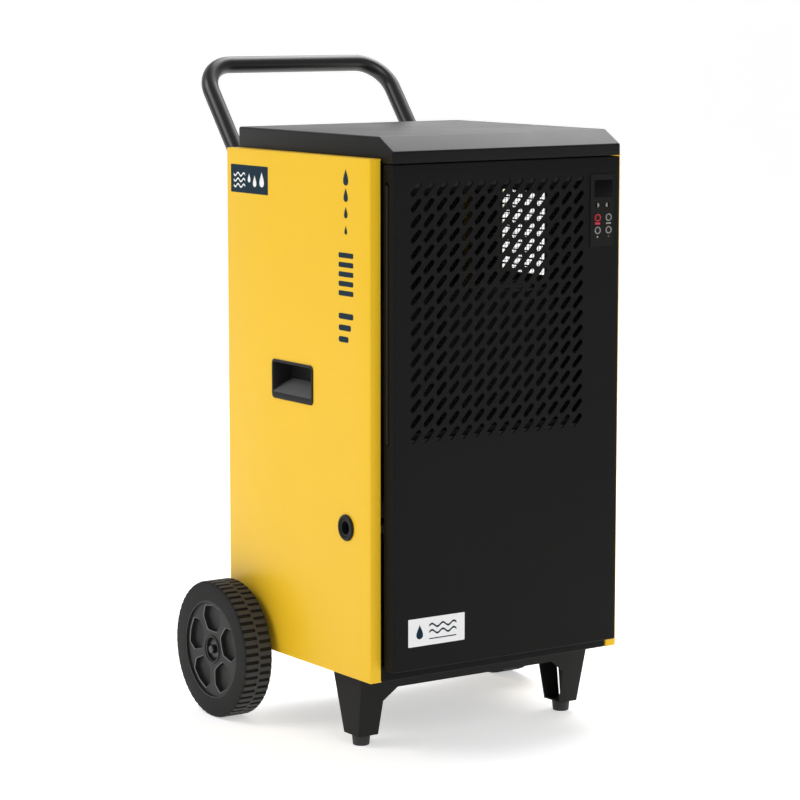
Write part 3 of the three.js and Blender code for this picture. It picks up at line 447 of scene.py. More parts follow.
def lathe(profile, centre, axis, sides):
    """A closed profile of (distance along the axis, radius) turned once round the axis through centre.
    A profile whose ends have no radius closes on the axis; otherwise its last point is joined to its
    first."""
    profile = np.asarray(profile, float)
    turn = 2 * math.pi * np.arange(sides) / sides
    along = np.broadcast_to(profile[:, :1], (len(profile), sides))
    first = profile[:, 1:] * np.cos(turn)
    second = profile[:, 1:] * np.sin(turn)
    order = {"x": (along, first, second), "y": (second, along, first), "z": (first, second, along)}[axis]
    points = np.stack(order, axis=2) + np.array(centre)
    faces = quads(len(profile), sides, wrap=True)
    if profile[0, 1] > 0:
        ring = np.arange(sides)
        last = (len(profile) - 1) * sides + ring
        faces = np.concatenate([faces, np.stack([last, ring, np.roll(ring, -1), np.roll(last, -1)], axis=1)])
    return points, faces


def middle_of(node):
    """Middle of a CAD piece."""
    low, high = node_box(node)
    return (low + high) / 2


RUBBER = finish("foot_rubber", (0.03, 0.03, 0.029), 0.6, grain=600, depth=0.0002, mottle=0.12, specular=0.35)
for name in ("foot_left", "foot_right"):
    top = node_box(name)[1][2] / MM
    profile = np.array([
        [0, 0], [0, 5], [1.6, 5.6], [1.6, 7.4], [0, 8], [0, 10.6], [0.5, 11.4], [1.4, 11.8],
        [top - 3, 12.9], [top - 1, 13.1], [top - 0.2, 12.6], [top, 11.8], [top, 0]]) * MM
    foot = mesh_piece(name + "_rubber", *lathe(profile, middle_of(name) * [1, 1, 0], "z", 48), RUBBER)
    put(foot, "foot_rubber", name)


# ---- axle and wheels -----------------------------------------------------------------------
# A dark steel rod through two brackets under the pan. Each wheel is a moulded rim with five wide
# pockets and a round hub in a solid tyre, held by an open spring ring on the axle's end.
TREAD_PITCHES = 54
TREAD_DEPTH = 2.4 * MM
TYRE_BORE = 72.3 * MM
# Depth behind the wheel's face and half width of the painted highlight band on the rim's pocket edges.
EDGE_HIGHLIGHT_DEPTH, EDGE_HIGHLIGHT_HALF = 3.55 * MM, 0.48 * MM
ZINC = finish(
    "zinc_plate", (0.42, 0.43, 0.44), 0.34, metallic=1, grain=500, depth=0.00005, mottle=0.12, specular=0.5)
OXIDE = finish(
    "dark_steel", (0.075, 0.076, 0.078), 0.45, metallic=1, grain=500, depth=0.00005, mottle=0.15,
    specular=0.5)
TYRE = finish(
    "tyre_rubber", (0.011, 0.011, 0.0107), 0.6, grain=420, depth=0.0002, mottle=0.12, specular=0.15)
RIM = finish(
    "rim_plastic", (0.0125, 0.0125, 0.0122), 0.45, grain=650, depth=0.00012, mottle=0.08, specular=0.22)
tyre_low, tyre_high = node_box("tyre_left")
AXLE = middle_of("tyre_left") * [0, 1, 1]
TYRE_RADIUS = (tyre_high[2] - tyre_low[2]) / 2


def lighten(material, where, colour):
    """Mixes a lighter colour into a finish by the strength of the socket where; the rim's pocket edges and
    the grip's floor use it for painted highlights, the tread for wear and painted light.
    """
    nodes, link, shader = graph(material)
    paler_mix = nodes.new("ShaderNodeMix")
    paler_mix.data_type = "RGBA"
    paler_mix.inputs["B"].default_value = (*colour, 1)
    link(where, paler_mix.inputs["Factor"])
    link(shader.inputs["Base Color"].links[0].from_socket, paler_mix.inputs["A"])
    link(paler_mix.outputs["Result"], shader.inputs["Base Color"])


def tread_wear_and_painted_light(material):
    """Paler rubber within 2 mm of the full radius, by the distance from the axle: partly wear where the
    tyre runs on the floor, partly painted light standing in for the floor's bounce on the tread's lands."""
    nodes, link, _ = graph(material)
    place = nodes.new("ShaderNodeTexCoord")
    across = nodes.new("ShaderNodeVectorMath")
    across.operation = "MULTIPLY_ADD"
    across.inputs[1].default_value = (0, 1, 1)
    across.inputs[2].default_value = (0, -AXLE[1], -AXLE[2])
    reach = nodes.new("ShaderNodeVectorMath")
    reach.operation = "LENGTH"
    wear = nodes.new("ShaderNodeMapRange")
    wear.inputs["From Min"].default_value = TYRE_RADIUS - 2 * MM
    wear.inputs["From Max"].default_value = TYRE_RADIUS - 0.2 * MM
    link(place.outputs["Object"], across.inputs[0])
    link(across.outputs["Vector"], reach.inputs[0])
    link(reach.outputs["Value"], wear.inputs["Value"])
    lighten(material, wear.outputs["Result"], (0.05, 0.05, 0.048))


def painted_edge_highlight(material, depth, half):
    """Painted highlight: paler plastic in a band that far behind the wheel's outer face, where the pockets'
    edges are, standing in for the light those edges catch.
    """
    nodes, link, _ = graph(material)
    place = nodes.new("ShaderNodeTexCoord")
    apart = nodes.new("ShaderNodeSeparateXYZ")
    side = nodes.new("ShaderNodeMath")
    side.operation = "ABSOLUTE"
    band = nodes.new("ShaderNodeMath")
    band.operation = "COMPARE"
    band.inputs[1].default_value = abs(tyre_low[0]) - depth
    band.inputs[2].default_value = half
    link(place.outputs["Object"], apart.inputs["Vector"])
    link(apart.outputs["X"], side.inputs[0])
    link(side.outputs["Value"], band.inputs[0])
    lighten(material, band.outputs["Value"], (0.19, 0.19, 0.19))


# Paler tread: partly wear, partly painted light for the bounce from the floor.
tread_wear_and_painted_light(TYRE)
# Painted highlight on the rim: a paler band along the pockets' edges.
painted_edge_highlight(RIM, EDGE_HIGHLIGHT_DEPTH, EDGE_HIGHLIGHT_HALF)


def tyre_points(face, width, side):
    """The tyre as (section, turn) points. The section runs round the tyre from the bead on the outer
    face across the tread and back; on the tread the radius drops by TREAD_DEPTH inside each cross
    slot: r(turn, w) = R - depth * slot, with the slots of the two rows half a pitch apart."""
    r = TYRE_RADIUS
    section = np.array([
        [0, TYRE_BORE], [0, r - 5 * MM], [0.3 * MM, r - 3 * MM], [1.1 * MM, r - 1.2 * MM],
        [2.6 * MM, r - 0.3 * MM], [3.8 * MM, r], [20.8 * MM, r], [21.1 * MM, r],
        [23.9 * MM, r], [24.2 * MM, r], [41.2 * MM, r], [42.4 * MM, r - 0.3 * MM],
        [43.9 * MM, r - 1.2 * MM], [44.7 * MM, r - 3 * MM], [45 * MM, r - 5 * MM], [45 * MM, TYRE_BORE]])
    section[:, 0] *= width / (45 * MM)
    first = np.array([0, 0, 0, 0.3, 0.8, 1, 1, 0, 0, 0, 0, 0, 0, 0, 0, 0])
    phase = np.tile([0, 0.06, 0.4, 0.46, 0.5, 0.56, 0.9, 0.96], TREAD_PITCHES)
    turn = 2 * math.pi * (phase + np.repeat(np.arange(TREAD_PITCHES), 8)) / TREAD_PITCHES
    in_first = (phase > 0.03) & (phase < 0.43)
    in_second = (phase > 0.53) & (phase < 0.93)
    drop = TREAD_DEPTH * (first[:, None] * in_first + first[::-1, None] * in_second)
    radius = section[:, 1:] - drop
    x = np.broadcast_to(face - side * section[:, :1], radius.shape)
    points = np.stack([x, AXLE[1] + radius * np.cos(turn), AXLE[2] + radius * np.sin(turn)], axis=2)
    rows, columns = radius.shape
    ring = quads(rows, columns, wrap=True)
    near, far = np.arange(columns), (rows - 1) * columns + np.arange(columns)
    closing = np.stack([far, near, np.roll(near, -1), np.roll(far, -1)], axis=1)
    return points, np.concatenate([ring, closing])


POCKET = np.array([
    [-20.5, 62], [0, 65.5], [20.5, 62], [25.5, 45.5], [13.5, 27], [0, 25.7], [-13.5, 27], [-25.5, 45.5]]) * MM
POCKET_MIDDLE = 46 * MM
FIFTH = 2 * math.pi / 5


def pocket_reach(angle, grow):
    """How far a pocket's edge is from its middle in each direction, with every side moved out by grow:
    1 / reach = (the sum over the sides of (cos(angle to the side's normal) / distance)^26)^(1/26),
    which is the polygon with its corners rounded."""
    along = np.roll(POCKET, -1, axis=0) - POCKET
    normal = np.stack([-along[:, 1], along[:, 0]], axis=1) / np.hypot(along[:, 0], along[:, 1])[:, None]
    distance = (normal * (POCKET - [0, POCKET_MIDDLE])).sum(axis=1) + grow
    lean = np.outer(np.cos(angle), normal[:, 0]) + np.outer(np.sin(angle), normal[:, 1])
    return ((np.maximum(lean, 0) / distance) ** 26).sum(axis=1) ** (-1 / 26)


def web_points(face, side, inner, outer):
    """The web between two radii, as five equal sectors. A sector is a stack of loops round its pocket's
    middle: the flat floor, the drafted wall, the broken edge, and out to the sector's own outline, whose
    reach is the least of the two straight sides, the outer arc and the inner arc."""
    corner = np.array([[outer, FIFTH / 2], [outer, -FIFTH / 2], [inner, FIFTH / 2], [inner, -FIFTH / 2]])
    corner_angle = np.arctan2(
        corner[:, 0] * np.cos(corner[:, 1]) - POCKET_MIDDLE, corner[:, 0] * np.sin(corner[:, 1]))
    angle = np.concatenate([np.arange(112) / 112 * 2 * math.pi, corner_angle % (2 * math.pi)])
    angle = np.unique(np.round(angle, 9))
    straight = np.abs(np.cos(angle)) * math.cos(FIFTH / 2) - np.sin(angle) * math.sin(FIFTH / 2)
    with np.errstate(divide="ignore", invalid="ignore"):
        to_side = np.where(straight > 0, POCKET_MIDDLE * math.sin(FIFTH / 2) / straight, 1)
    forward = POCKET_MIDDLE * np.sin(angle)
    to_outer = np.sqrt(forward ** 2 - POCKET_MIDDLE ** 2 + outer ** 2) - forward
    under = forward ** 2 - POCKET_MIDDLE ** 2 + inner ** 2
    to_inner = np.where((under >= -1e-12) & (forward < 0), -forward - np.sqrt(np.maximum(under, 0)), 1)
    edge = np.minimum(to_side, np.minimum(to_outer, to_inner))
    wall = [(10.5, -2.0), (10.3, -1.5), (9.6, -1.2), (4.1, -0.85), (3.0, 0.25)]
    reach = [0 * edge] + [pocket_reach(angle, grow * MM) for _, grow in wall] + [edge, edge, 0 * edge]
    depth = np.array([10.5] + [d for d, _ in wall] + [3.0, 16.0, 16.0]) * MM
    reach = np.array(reach)
    across, out = reach * np.cos(angle), POCKET_MIDDLE + reach * np.sin(angle)
    turn = (np.arange(5) * FIFTH)[:, None, None]
    points = np.stack([
        np.broadcast_to(face - side * depth[:, None], (5, *across.shape)),
        AXLE[1] + across * np.cos(turn) - out * np.sin(turn),
        AXLE[2] + across * np.sin(turn) + out * np.cos(turn)], axis=3)
    faces = quads(len(depth), len(angle), wrap=True).reshape(len(depth) - 1, len(angle), 4)
    on_side = np.abs(edge - to_side) < 1e-9
    shared = on_side & np.roll(on_side, -1)
    faces = np.concatenate([faces[:-2].reshape(-1, 4), faces[-2][~shared], faces[-1]])
    size = across.size
    return points.reshape(-1, 3), np.concatenate([faces + k * size for k in range(5)])


def wheel_rim(face, width_mm, side):
    """The rim: a drum with a shallow step behind the tyre's face, the web, and a hub with a round well."""
    drum = np.array([
        [0.2, 72], [0.15, 71.6], [0.15, 69.7], [0.5, 69.3], [2.9, 69.0], [16, 67.8], [width_mm - 2.4, 67.2],
        [width_mm - 2, 67.6], [width_mm - 2, 71.6], [width_mm - 2.4, 72]])
    hub = np.array([
        [3.6, 21.6], [2.3, 21.2], [1.6, 20.6], [1.4, 20.0], [1.4, 18.8], [1.6, 18.2], [2.4, 17.7],
        [8.6, 16.9], [9, 16.5], [9, 6.9], [9.4, 6.5], [width_mm - 0.4, 6.5], [width_mm, 6.9],
        [width_mm, 17.4], [width_mm - 0.4, 18], [17, 24], [15.5, 24.5]])
    centre = np.array([face, AXLE[1], AXLE[2]])
    return together(
        web_points(face, side, 19 * MM, 70.2 * MM),
        lathe(drum * MM * [-side, 1], centre, "x", 120),
        lathe(hub * MM * [-side, 1], centre, "x", 64))


def spring_ring(face, side):
    """An open ring of flat wire: a section carried round 300 degrees, with rounded ears at its ends."""
    turn = np.radians(np.linspace(32, 328, 60))
    swell = 1 + 0.18 * (np.exp(-((turn - turn[0]) / 0.18) ** 2) + np.exp(-((turn[-1] - turn) / 0.18) ** 2))
    mid, half = 9.7 * MM, 3.0 * MM
    section = np.array([[0, -1], [0, 1], [1, 1], [1, -1]])
    radius = mid + half * section[None, :, 1] * swell[:, None]
    x = face - side * (6.5 + 1.6 * section[None, :, 0]) * MM
    points = np.stack([
        np.broadcast_to(x, radius.shape),
        AXLE[1] + radius * np.cos(turn)[:, None],
        AXLE[2] + radius * np.sin(turn)[:, None]], axis=2)
    faces = quads(60, 4, wrap=True).tolist() + [[0, 1, 2, 3], [239, 238, 237, 236]]
    return points, faces


for name, side in (("left", -1), ("right", 1)):
    low, high = node_box("tyre_" + name)
    face = low[0] if side < 0 else high[0]
    width = high[0] - low[0]
    tyre = mesh_piece("tyre_" + name + "_tread", *tyre_points(face, width, side), TYRE, crease=28)
    put(tyre, "tyre_rubber", "tyre_" + name, body="wheel_" + name)
    rim = mesh_piece("rim_" + name + "_moulding", *wheel_rim(face, width / MM, side), RIM, crease=32)
    put(rim, "rim_plastic", "rim_" + name, body="wheel_" + name)
    ring = mesh_piece("axle_ring_" + name, *spring_ring(face, side), OXIDE, bevel=0.25 * MM)
    put(ring, "zinc_steel", "axle_clip_" + name)
low, high = node_box("axle")
end = (high[0] - low[0]) / 2 / MM
rod = np.array([
    [-end, 0], [-end, 5], [-end + 0.8, 5.9], [-end + 6.1, 6], [-end + 6.2, 5.2], [-end + 8.4, 5.2],
    [-end + 8.5, 6], [end - 8.5, 6], [end - 8.4, 5.2], [end - 6.2, 5.2], [end - 6.1, 6],
    [end - 0.8, 5.9], [end, 5], [end, 0]]) * MM
put(mesh_piece("axle_rod", *lathe(rod, AXLE, "x", 40), OXIDE), "zinc_steel", "axle")


def channel(low, high, wall):
    """An upside-down U of sheet: a roof and two sides, open at both ends along Y."""
    return together(
        block((low[0], low[1], high[2] - wall), high),
        block(low, (low[0] + wall, high[1], high[2] - wall)),
        block((high[0] - wall, low[1], low[2]), (high[0], high[1], high[2] - wall)))


for name in ("axle_bracket_left", "axle_bracket_right"):
    low, high = node_box(name)
    bracket = mesh_piece(name + "_sheet", *channel(low, high, 4 * MM), LEG_COAT, bevel=0.6 * MM)
    put(bracket, "leg_paint", name)


# ---- cooling circuit and fan ---------------------------------------------------------------
# Compressor and suction accumulator on the pan, a tray with the two coils, and a fan in a
# shroud behind them; copper tubes join the compressor to the coils.
ENAMEL = finish(
    "compressor_enamel", (0.02, 0.021, 0.022), 0.25, grain=300, depth=0.00008, mottle=0.1, specular=0.5)
COPPER = finish(
    "copper_tube", (0.2, 0.085, 0.05), 0.42, metallic=1, grain=260, depth=0.00005, mottle=0.2, specular=0.5)
GREY = finish("grey_plastic", (0.27, 0.29, 0.3), 0.45, grain=600, depth=0.0001, specular=0.4)
HOSE = finish("hose_plastic", (0.5, 0.53, 0.53), 0.4, grain=200, depth=0.0001, specular=0.4)
BLACK_PLASTIC = finish("black_plastic", (0.011, 0.0112, 0.0112), 0.48, mottle=0.1, specular=0.16)


def fin_pack(name, pitch):
    """Black-coated aluminium with fine upright fins: a wavy relief along X with the given pitch."""
    material = finish(
        name, (0.02, 0.021, 0.022), 0.75, metallic=0.2, grain=300, depth=0.00004, mottle=0.1, specular=0.06)
    nodes, link, shader = graph(material)
    relief = next(n for n in nodes if n.type == "BUMP")
    place = next(n for n in nodes if n.type == "TEX_COORD")
    wave = nodes.new("ShaderNodeTexWave")
    wave.bands_direction = "X"
    wave.inputs["Scale"].default_value = 0.5 / pitch / 10
    link(place.outputs["Object"], wave.inputs["Vector"])
    fins = nodes.new("ShaderNodeBump")
    fins.inputs["Distance"].default_value = 0.001
    link(wave.outputs["Fac"], fins.inputs["Height"])
    link(relief.outputs["Normal"], fins.inputs["Normal"])
    link(fins.outputs["Normal"], shader.inputs["Normal"])
    return material


FINS = fin_pack("coil_fins", 0.0018)


def coat_node(node, material):
    """A CAD piece that stays gets its procedural material."""
    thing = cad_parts[node]
    thing.data.materials.clear()
    thing.data.materials.append(material)


for node, material in {
    "compressor": ENAMEL, "compressor_mount_left": RUBBER, "compressor_mount_right": RUBBER,
    "compressor_mount_rear": RUBBER, "accumulator": COPPER, "electrical_box": GREY,
    "chassis_post": BLACK_COAT, "drip_tray": GREY, "evaporator_coil": FINS, "condenser_coil": FINS,
    "fan_shroud": BLACK_COAT, "fan_impeller": BLACK_PLASTIC, "fan_motor": ZINC, "motor_bracket": ZINC,
    "suction_pipe": COPPER, "discharge_pipe": COPPER, "drain_hose": HOSE,
}.items():
    coat_node(node, material)


# ---- side panels ---------------------------------------------------------------------------
# Two trays folded from 1.5 mm steel, powder-coated yellow. All four edges are folded in, and
# the front edge has a second fold; each tray has a cut-out for a grip, the left one a round
# hole for the drain port and the right one the window of the air outlet.
YELLOW = (0.925, 0.565, 0.022)
SIDE_SHEET = 1.5 * MM
SIDE_FOLD = 2.0 * MM
SIDE_LIP = 9.5 * MM
PORT_CUT = 15 * MM
GRIP_HALF = (51.5 * MM, 26 * MM)
GRIP_CORNER = 1.5 * MM
GUARD_BORDER = 6 * MM
WINDOW_CORNER = 4 * MM
YELLOW_COAT = finish("yellow_powder_coat", YELLOW, 0.36, grain=700, depth=0.0001, mottle=0.02, specular=0.2)


def pulled_outline(us, vs, middle, half_width, half_height, corner):
    """The outline of a rounded opening with one point for each grid point on a patch's edge: each edge
    point moves to the opening's edge, a rectangle grown from its inner core by the corner radius."""
    edge = np.concatenate([
        np.stack([us[:-1], np.full(len(us) - 1, vs[0])], axis=1),
        np.stack([np.full(len(vs) - 1, us[-1]), vs[:-1]], axis=1),
        np.stack([us[:0:-1], np.full(len(us) - 1, vs[-1])], axis=1),
        np.stack([np.full(len(vs) - 1, us[0]), vs[:0:-1]], axis=1),
    ]) - np.array(middle)
    edge /= np.abs(edge / [half_width, half_height]).max(axis=1)[:, None]
    reach = np.array([half_width, half_height]) - corner
    core = np.clip(edge, -reach, reach)
    away = edge - core
    size = np.linalg.norm(away, axis=1)[:, None]
    return np.array(middle) + core + away * corner / np.maximum(size, 1e-12)


def hole_lines(middle, half, margin, corner=0.0, count=5):
    """Grid lines across an opening and the ring round it, closer together at the opening's corners."""
    span = half + margin
    close = span * (1 - corner / half * np.array([1, 0.6, 0.3]))
    return middle + np.unique(np.round(np.concatenate([np.linspace(-span, span, count), close, -close]), 7))


def near(lines, value):
    """Number of the grid line that is nearest to the value."""
    return int(np.abs(lines - value).argmin())


def holed(ends_u, ends_v, openings, margin):
    """Grid lines and patches for a sheet with openings (u, v, half width, half height, corner radius)."""
    us = np.concatenate([ends_u] + [hole_lines(u, a, margin, r) for u, _, a, _, r in openings])
    vs = np.concatenate([ends_v] + [hole_lines(v, b, margin, r) for _, v, _, b, r in openings])
    us, vs = np.unique(np.round(us, 6)), np.unique(np.round(vs, 6))
    patches = []
    for u, v, a, b, r in openings:
        i0, i1 = [near(us, u + s * (a + margin)) for s in (-1, 1)]
        j0, j1 = [near(vs, v + s * (b + margin)) for s in (-1, 1)]
        patches.append((i0, i1, j0, j1, pulled_outline(us[i0:i1 + 1], vs[j0:j1 + 1], (u, v), a, b, r)))
    return us, vs, patches


def side_panel(name, node, openings):
    """The tray of one side; openings are (y, z, half width, half height, corner radius)."""
    low, high = node_box(node)
    side = -1 if low[0] < 0 else 1
    us, vs, patches = holed(
        [low[1] + SIDE_FOLD, high[1] - SIDE_FOLD], [low[2] + SIDE_FOLD, high[2] - SIDE_FOLD],
        openings, 4 * MM)
    points, faces = tray(us, vs, SIDE_FOLD, high[0] - low[0], patches, lip=SIDE_LIP, lip_side=(-1, 0))
    outer = low[0] if side < 0 else high[0]
    placed = np.stack([outer - side * points[:, 2], points[:, 0], points[:, 1]], axis=1)
    return mesh_piece(name, placed, faces, YELLOW_COAT, (side, 0, 0), SIDE_SHEET)


guard_low, guard_high = node_box("outlet_guard")
guard_half = (guard_high - guard_low)[1:] / 2
GRIP_Y, GRIP_Z = middle_of("grip_cup_left")[1:]
PORT_Y, PORT_Z = middle_of("drain_port_bushing")[1:]
GRIP = (GRIP_Y, GRIP_Z, *GRIP_HALF, GRIP_CORNER)
PORT = (PORT_Y, PORT_Z, PORT_CUT, PORT_CUT, PORT_CUT)
WINDOW = (*middle_of("outlet_guard")[1:], *(guard_half - GUARD_BORDER), WINDOW_CORNER)
put(side_panel("left_side_sheet", "left_side_panel", [GRIP, PORT]), "yellow_paint", "left_side_panel")
put(side_panel("right_side_sheet", "right_side_panel", [GRIP, WINDOW]), "yellow_paint", "right_side_panel")

FOAM_SHEET = 6 * MM
FOAM = finish("black_foam", (0.008, 0.008, 0.008), 0.9, grain=500, depth=0.0006, mottle=0.3, specular=0.1)


def liner(name, node, openings):
    """A mat of foam on the inside of a side panel: a flat sheet with the panel's openings, a bit wider."""
    low, high = node_box(node)
    side = -1 if low[0] < 0 else 1
    grown = [(y, z, a + 4 * MM, b + 4 * MM, r + 4 * MM) for y, z, a, b, r in openings]
    us, vs, patches = holed(
        [low[1] + 14 * MM, high[1] - 20 * MM], [low[2] + 26 * MM, high[2] - 6 * MM], grown, 4 * MM)
    points, faces = sheet(us, vs, patches)
    inner = (low[0] if side < 0 else high[0]) - side * (SIDE_SHEET + 0.3 * MM)
    placed = np.stack([np.full(len(points), inner), points[:, 0], points[:, 1]], axis=1)
    return mesh_piece(name, placed, faces, FOAM, (side, 0, 0), FOAM_SHEET)


put(liner("left_foam", "left_side_panel", [GRIP, PORT]), "black_plastic")
put(liner("right_foam", "right_side_panel", [GRIP, WINDOW]), "black_plastic")


# ---- marks on the left side ----------------------------------------------------------------
# Two printed films on the left panel: a dark plate near the rear with drops and a wave, and a
# dark band of bars and rings that runs up beside the front edge. Neither spells anything.
FILM = 0.25 * MM
NAVY = finish("navy_print", (0.0015, 0.02, 0.038), 0.5, grain=500, depth=0.00003, mottle=0.05, specular=0.12)
PALE = finish("pale_print", (0.9, 0.9, 0.9), 0.4, grain=500, depth=0.00003, mottle=0.03, specular=0.4)
WALL, FRONT_EDGE = node_box("left_side_panel")[0][:2]


def film(outlines, lift, surface):
    """Flat prints from closed outlines in the plane of a panel, each lifted off it by its own film:
    the face and the edge all round. surface maps (u, v, height above the panel) to a place."""
    shells = []
    for outline in outlines:
        outline = np.asarray(outline, float)
        n = len(outline)
        ring = [np.concatenate([outline, np.full((n, 1), h)], axis=1) for h in (lift - FILM, lift)]
        points = surface(np.concatenate(ring))
        here, after = np.arange(n), np.roll(np.arange(n), -1)
        faces = np.stack([here, after, after + n, here + n], axis=1)
        shells.append((points, faces.tolist() + [list(range(n, 2 * n)), list(range(n))[::-1]]))
    return together(*shells)


def on_left(points):
    """(distance behind the front edge, height, lift) on the left panel, in millimetres, to a place."""
    return np.stack([WALL - points[:, 2], FRONT_EDGE + points[:, 0] * MM, points[:, 1] * MM], axis=1)


def rounded_box(u0, u1, v0, v1, corner):
    """Outline of a rounded rectangle, four points to a corner."""
    turn = np.radians(np.add.outer([0, 90, 180, 270], [0, 30, 60, 90]))
    middles = np.array([
        [u1 - corner, v1 - corner], [u0 + corner, v1 - corner],
        [u0 + corner, v0 + corner], [u1 - corner, v0 + corner]])
    arcs = corner * np.stack([np.cos(turn), np.sin(turn)], axis=2)
    return (middles[:, None] + arcs).reshape(-1, 2)


def drop_shape(u, v, size):
    """Outline of a drop: a round lower part that narrows to a point, from t = 0 to a full turn, with
    x = size * sin t * sin(t / 2)^1.6 and y = 1.25 * size * cos t."""
    t = np.linspace(0, 2 * math.pi, 40, endpoint=False)
    return np.stack([u + size * np.sin(t) * np.sin(t / 2) ** 1.6, v + size * 1.25 * np.cos(t)], axis=1)


def wave_band(u0, u1, v, swing, thick, waves):
    """Outline of a wavy line of even thickness."""
    u = np.linspace(u0, u1, 60)
    middle = v + swing * np.sin(2 * math.pi * waves * (u - u0) / (u1 - u0))
    return np.concatenate([
        np.stack([u, middle - thick / 2], axis=1), np.stack([u, middle + thick / 2], axis=1)[::-1]])


plate = mesh_piece("rear_mark_plate", *film([rounded_box(258, 358, 764, 804, 1.5)], FILM, on_left), NAVY)
put(plate, "yellow_paint")
figures = [drop_shape(274, 785, 8.5), drop_shape(293, 782, 6.5), drop_shape(308, 786, 5)]
figures += [wave_band(319, 350, v, 2.2, 2.4, 2) for v in (790, 782, 774)]
put(mesh_piece("rear_mark_figures", *film(figures, 2 * FILM, on_left), PALE), "yellow_paint")
column = [drop_shape(58, 800 - 24 * i, 9 - 1.4 * i) for i in range(4)]
column += [rounded_box(40, 76, 690 - 13 * i, 697 - 13 * i, 2) for i in range(5)]
column += [rounded_box(40 + 6 * i, 76, 606 - 16 * i, 614 - 16 * i, 3) for i in range(3)]
put(mesh_piece("front_mark_column", *film(column, FILM, on_left), NAVY), "yellow_paint")


# ---- grips and drain port ------------------------------------------------------------------
# A moulded grip sits in each side panel: a thin rim and a pocket whose floor rises towards the
# back; the pocket's faces that look up are painted paler, a painted highlight for the light that
# falls on them from above. The drain port is a black bushing in the left panel, with a black
# spigot that the hose is pushed onto.
def grip_points(low, high, side):
    """The grip as loops of one rounded rectangle after another: the back of the pocket, its mouth, over
    the rim, and back along the outer wall. Each loop is (depth behind the rim's face, half width,
    lower edge, upper edge, corner radius)."""
    face = low[0] if side < 0 else high[0]
    wide, tall = (high[1] - low[1]) / 2 / MM, (high[2] - low[2]) / 2 / MM
    deep = (high[0] - low[0]) / MM
    loops = np.array([
        [deep - 1.8, 20, 6, 12, 2], [deep - 1.8, 44, -1, 20.8, 2], [deep - 2.4, 45.8, -2.5, 22.2, 2.2],
        [deep - 4.4, 46.4, -3.4, 22.8, 2.4], [14, 47.9, -10.8, 23.2, 2.8], [3.2, 49, -17.2, 23.6, 3],
        [1.6, 49.4, -18, 23.8, 3.2], [0.7, 49.8, -18.4, 24.2, 3.4], [0.15, 50.4, -19, 24.8, 3.8],
        [0, 51, -19.8, 25.4, 4.2], [0, wide - 1.2, 1.2 - tall, tall - 1.2, 5.4],
        [0.2, wide - 0.5, 0.5 - tall, tall - 0.5, 5.9], [0.7, wide, -tall, tall, 6.2],
        [1.5, wide, -tall, tall, 6.2], [1.5, 51.1, -25.6, 25.6, 1.4], [3, 51.1, -25.6, 25.6, 1.4],
        [deep - 1, 48.6, -5.6, 24.8, 2], [deep, 47.6, -4.8, 24.2, 2], [deep, 20, 6, 12, 2]])
    turn = np.radians(np.arange(5) * 22.5)
    corners = [(1, 1, 0), (-1, 1, 90), (-1, -1, 180), (1, -1, 270)]
    u, v = [], []
    for su, sv, start in corners:
        angle = turn + math.radians(start)
        u.append(su * (loops[:, 1] - loops[:, 4])[:, None] + loops[:, 4:5] * np.cos(angle))
        edge = loops[:, 3] - loops[:, 4] if sv > 0 else loops[:, 2] + loops[:, 4]
        v.append(edge[:, None] + loops[:, 4:5] * np.sin(angle))
    u, v = np.concatenate(u, axis=1), np.concatenate(v, axis=1)
    x = np.broadcast_to(face - side * loops[:, :1] * MM, u.shape)
    points = np.stack([x, GRIP_Y + u * MM, GRIP_Z + v * MM], axis=2)
    count = u.shape[1]
    first, last = list(range(count)), list(range((len(loops) - 1) * count, len(loops) * count))
    return points, quads(len(loops), count, wrap=True).tolist() + [first, last[::-1]]


def painted_lit_floor(material):
    """Painted highlight: paler plastic on the faces that look up, as if lit from above."""
    nodes, link, _ = graph(material)
    facing = nodes.new("ShaderNodeTexCoord")
    apart = nodes.new("ShaderNodeSeparateXYZ")
    upward = nodes.new("ShaderNodeMapRange")
    upward.inputs["From Min"].default_value = 0.35
    upward.inputs["From Max"].default_value = 0.8
    link(facing.outputs["Normal"], apart.inputs["Vector"])
    link(apart.outputs["Z"], upward.inputs["Value"])
    lighten(material, upward.outputs["Result"], (0.15, 0.15, 0.152))


GRIP_PLASTIC = finish(
    "grip_plastic", (0.013, 0.013, 0.013), 0.5, grain=700, depth=0.00015, mottle=0.12, specular=0.14)
# Painted highlight: the grip pocket's upward faces are made paler to stand in for light from above.
painted_lit_floor(GRIP_PLASTIC)
for name, side in (("left", -1), ("right", 1)):
    low, high = node_box("grip_cup_" + name)
    grip = mesh_piece("grip_" + name, *grip_points(low, high, side), GRIP_PLASTIC, crease=50)
    put(grip, "black_plastic", "grip_cup_" + name)

bushing = np.array([
    [-0.3, 18.3], [-0.9, 18.5], [-1.8, 18.4], [-2.8, 17.8], [-3.4, 16.8], [-3.6, 15.6], [-3.5, 14.2],
    [-3.0, 13.4], [-2.2, 13.0], [9, 13.0], [9, 14.7], [0.1, 14.7], [-0.1, 14.9], [-0.3, 15.2]]) * MM
centre = np.array([WALL, PORT_Y, PORT_Z])
bushing = mesh_piece("port_bushing", *lathe(bushing, centre, "x", 56), BLACK_PLASTIC)
put(bushing, "black_plastic", "drain_port_bushing")
spigot = np.array([
    [-2.4, 9.6], [-2.4, 12.2], [-1.9, 12.6], [8, 12.6], [8, 11.2], [12, 11.2], [12.4, 11.8], [16, 11.0],
    [16.4, 11.8], [20, 11.0], [20.4, 11.8], [24, 11.0], [26, 10.4], [26, 9.5], [-1.6, 9.5]]) * MM
spigot = mesh_piece("port_spigot", *lathe(spigot, centre, "x", 48), BLACK_PLASTIC)
put(spigot, "black_plastic", "drain_spigot")


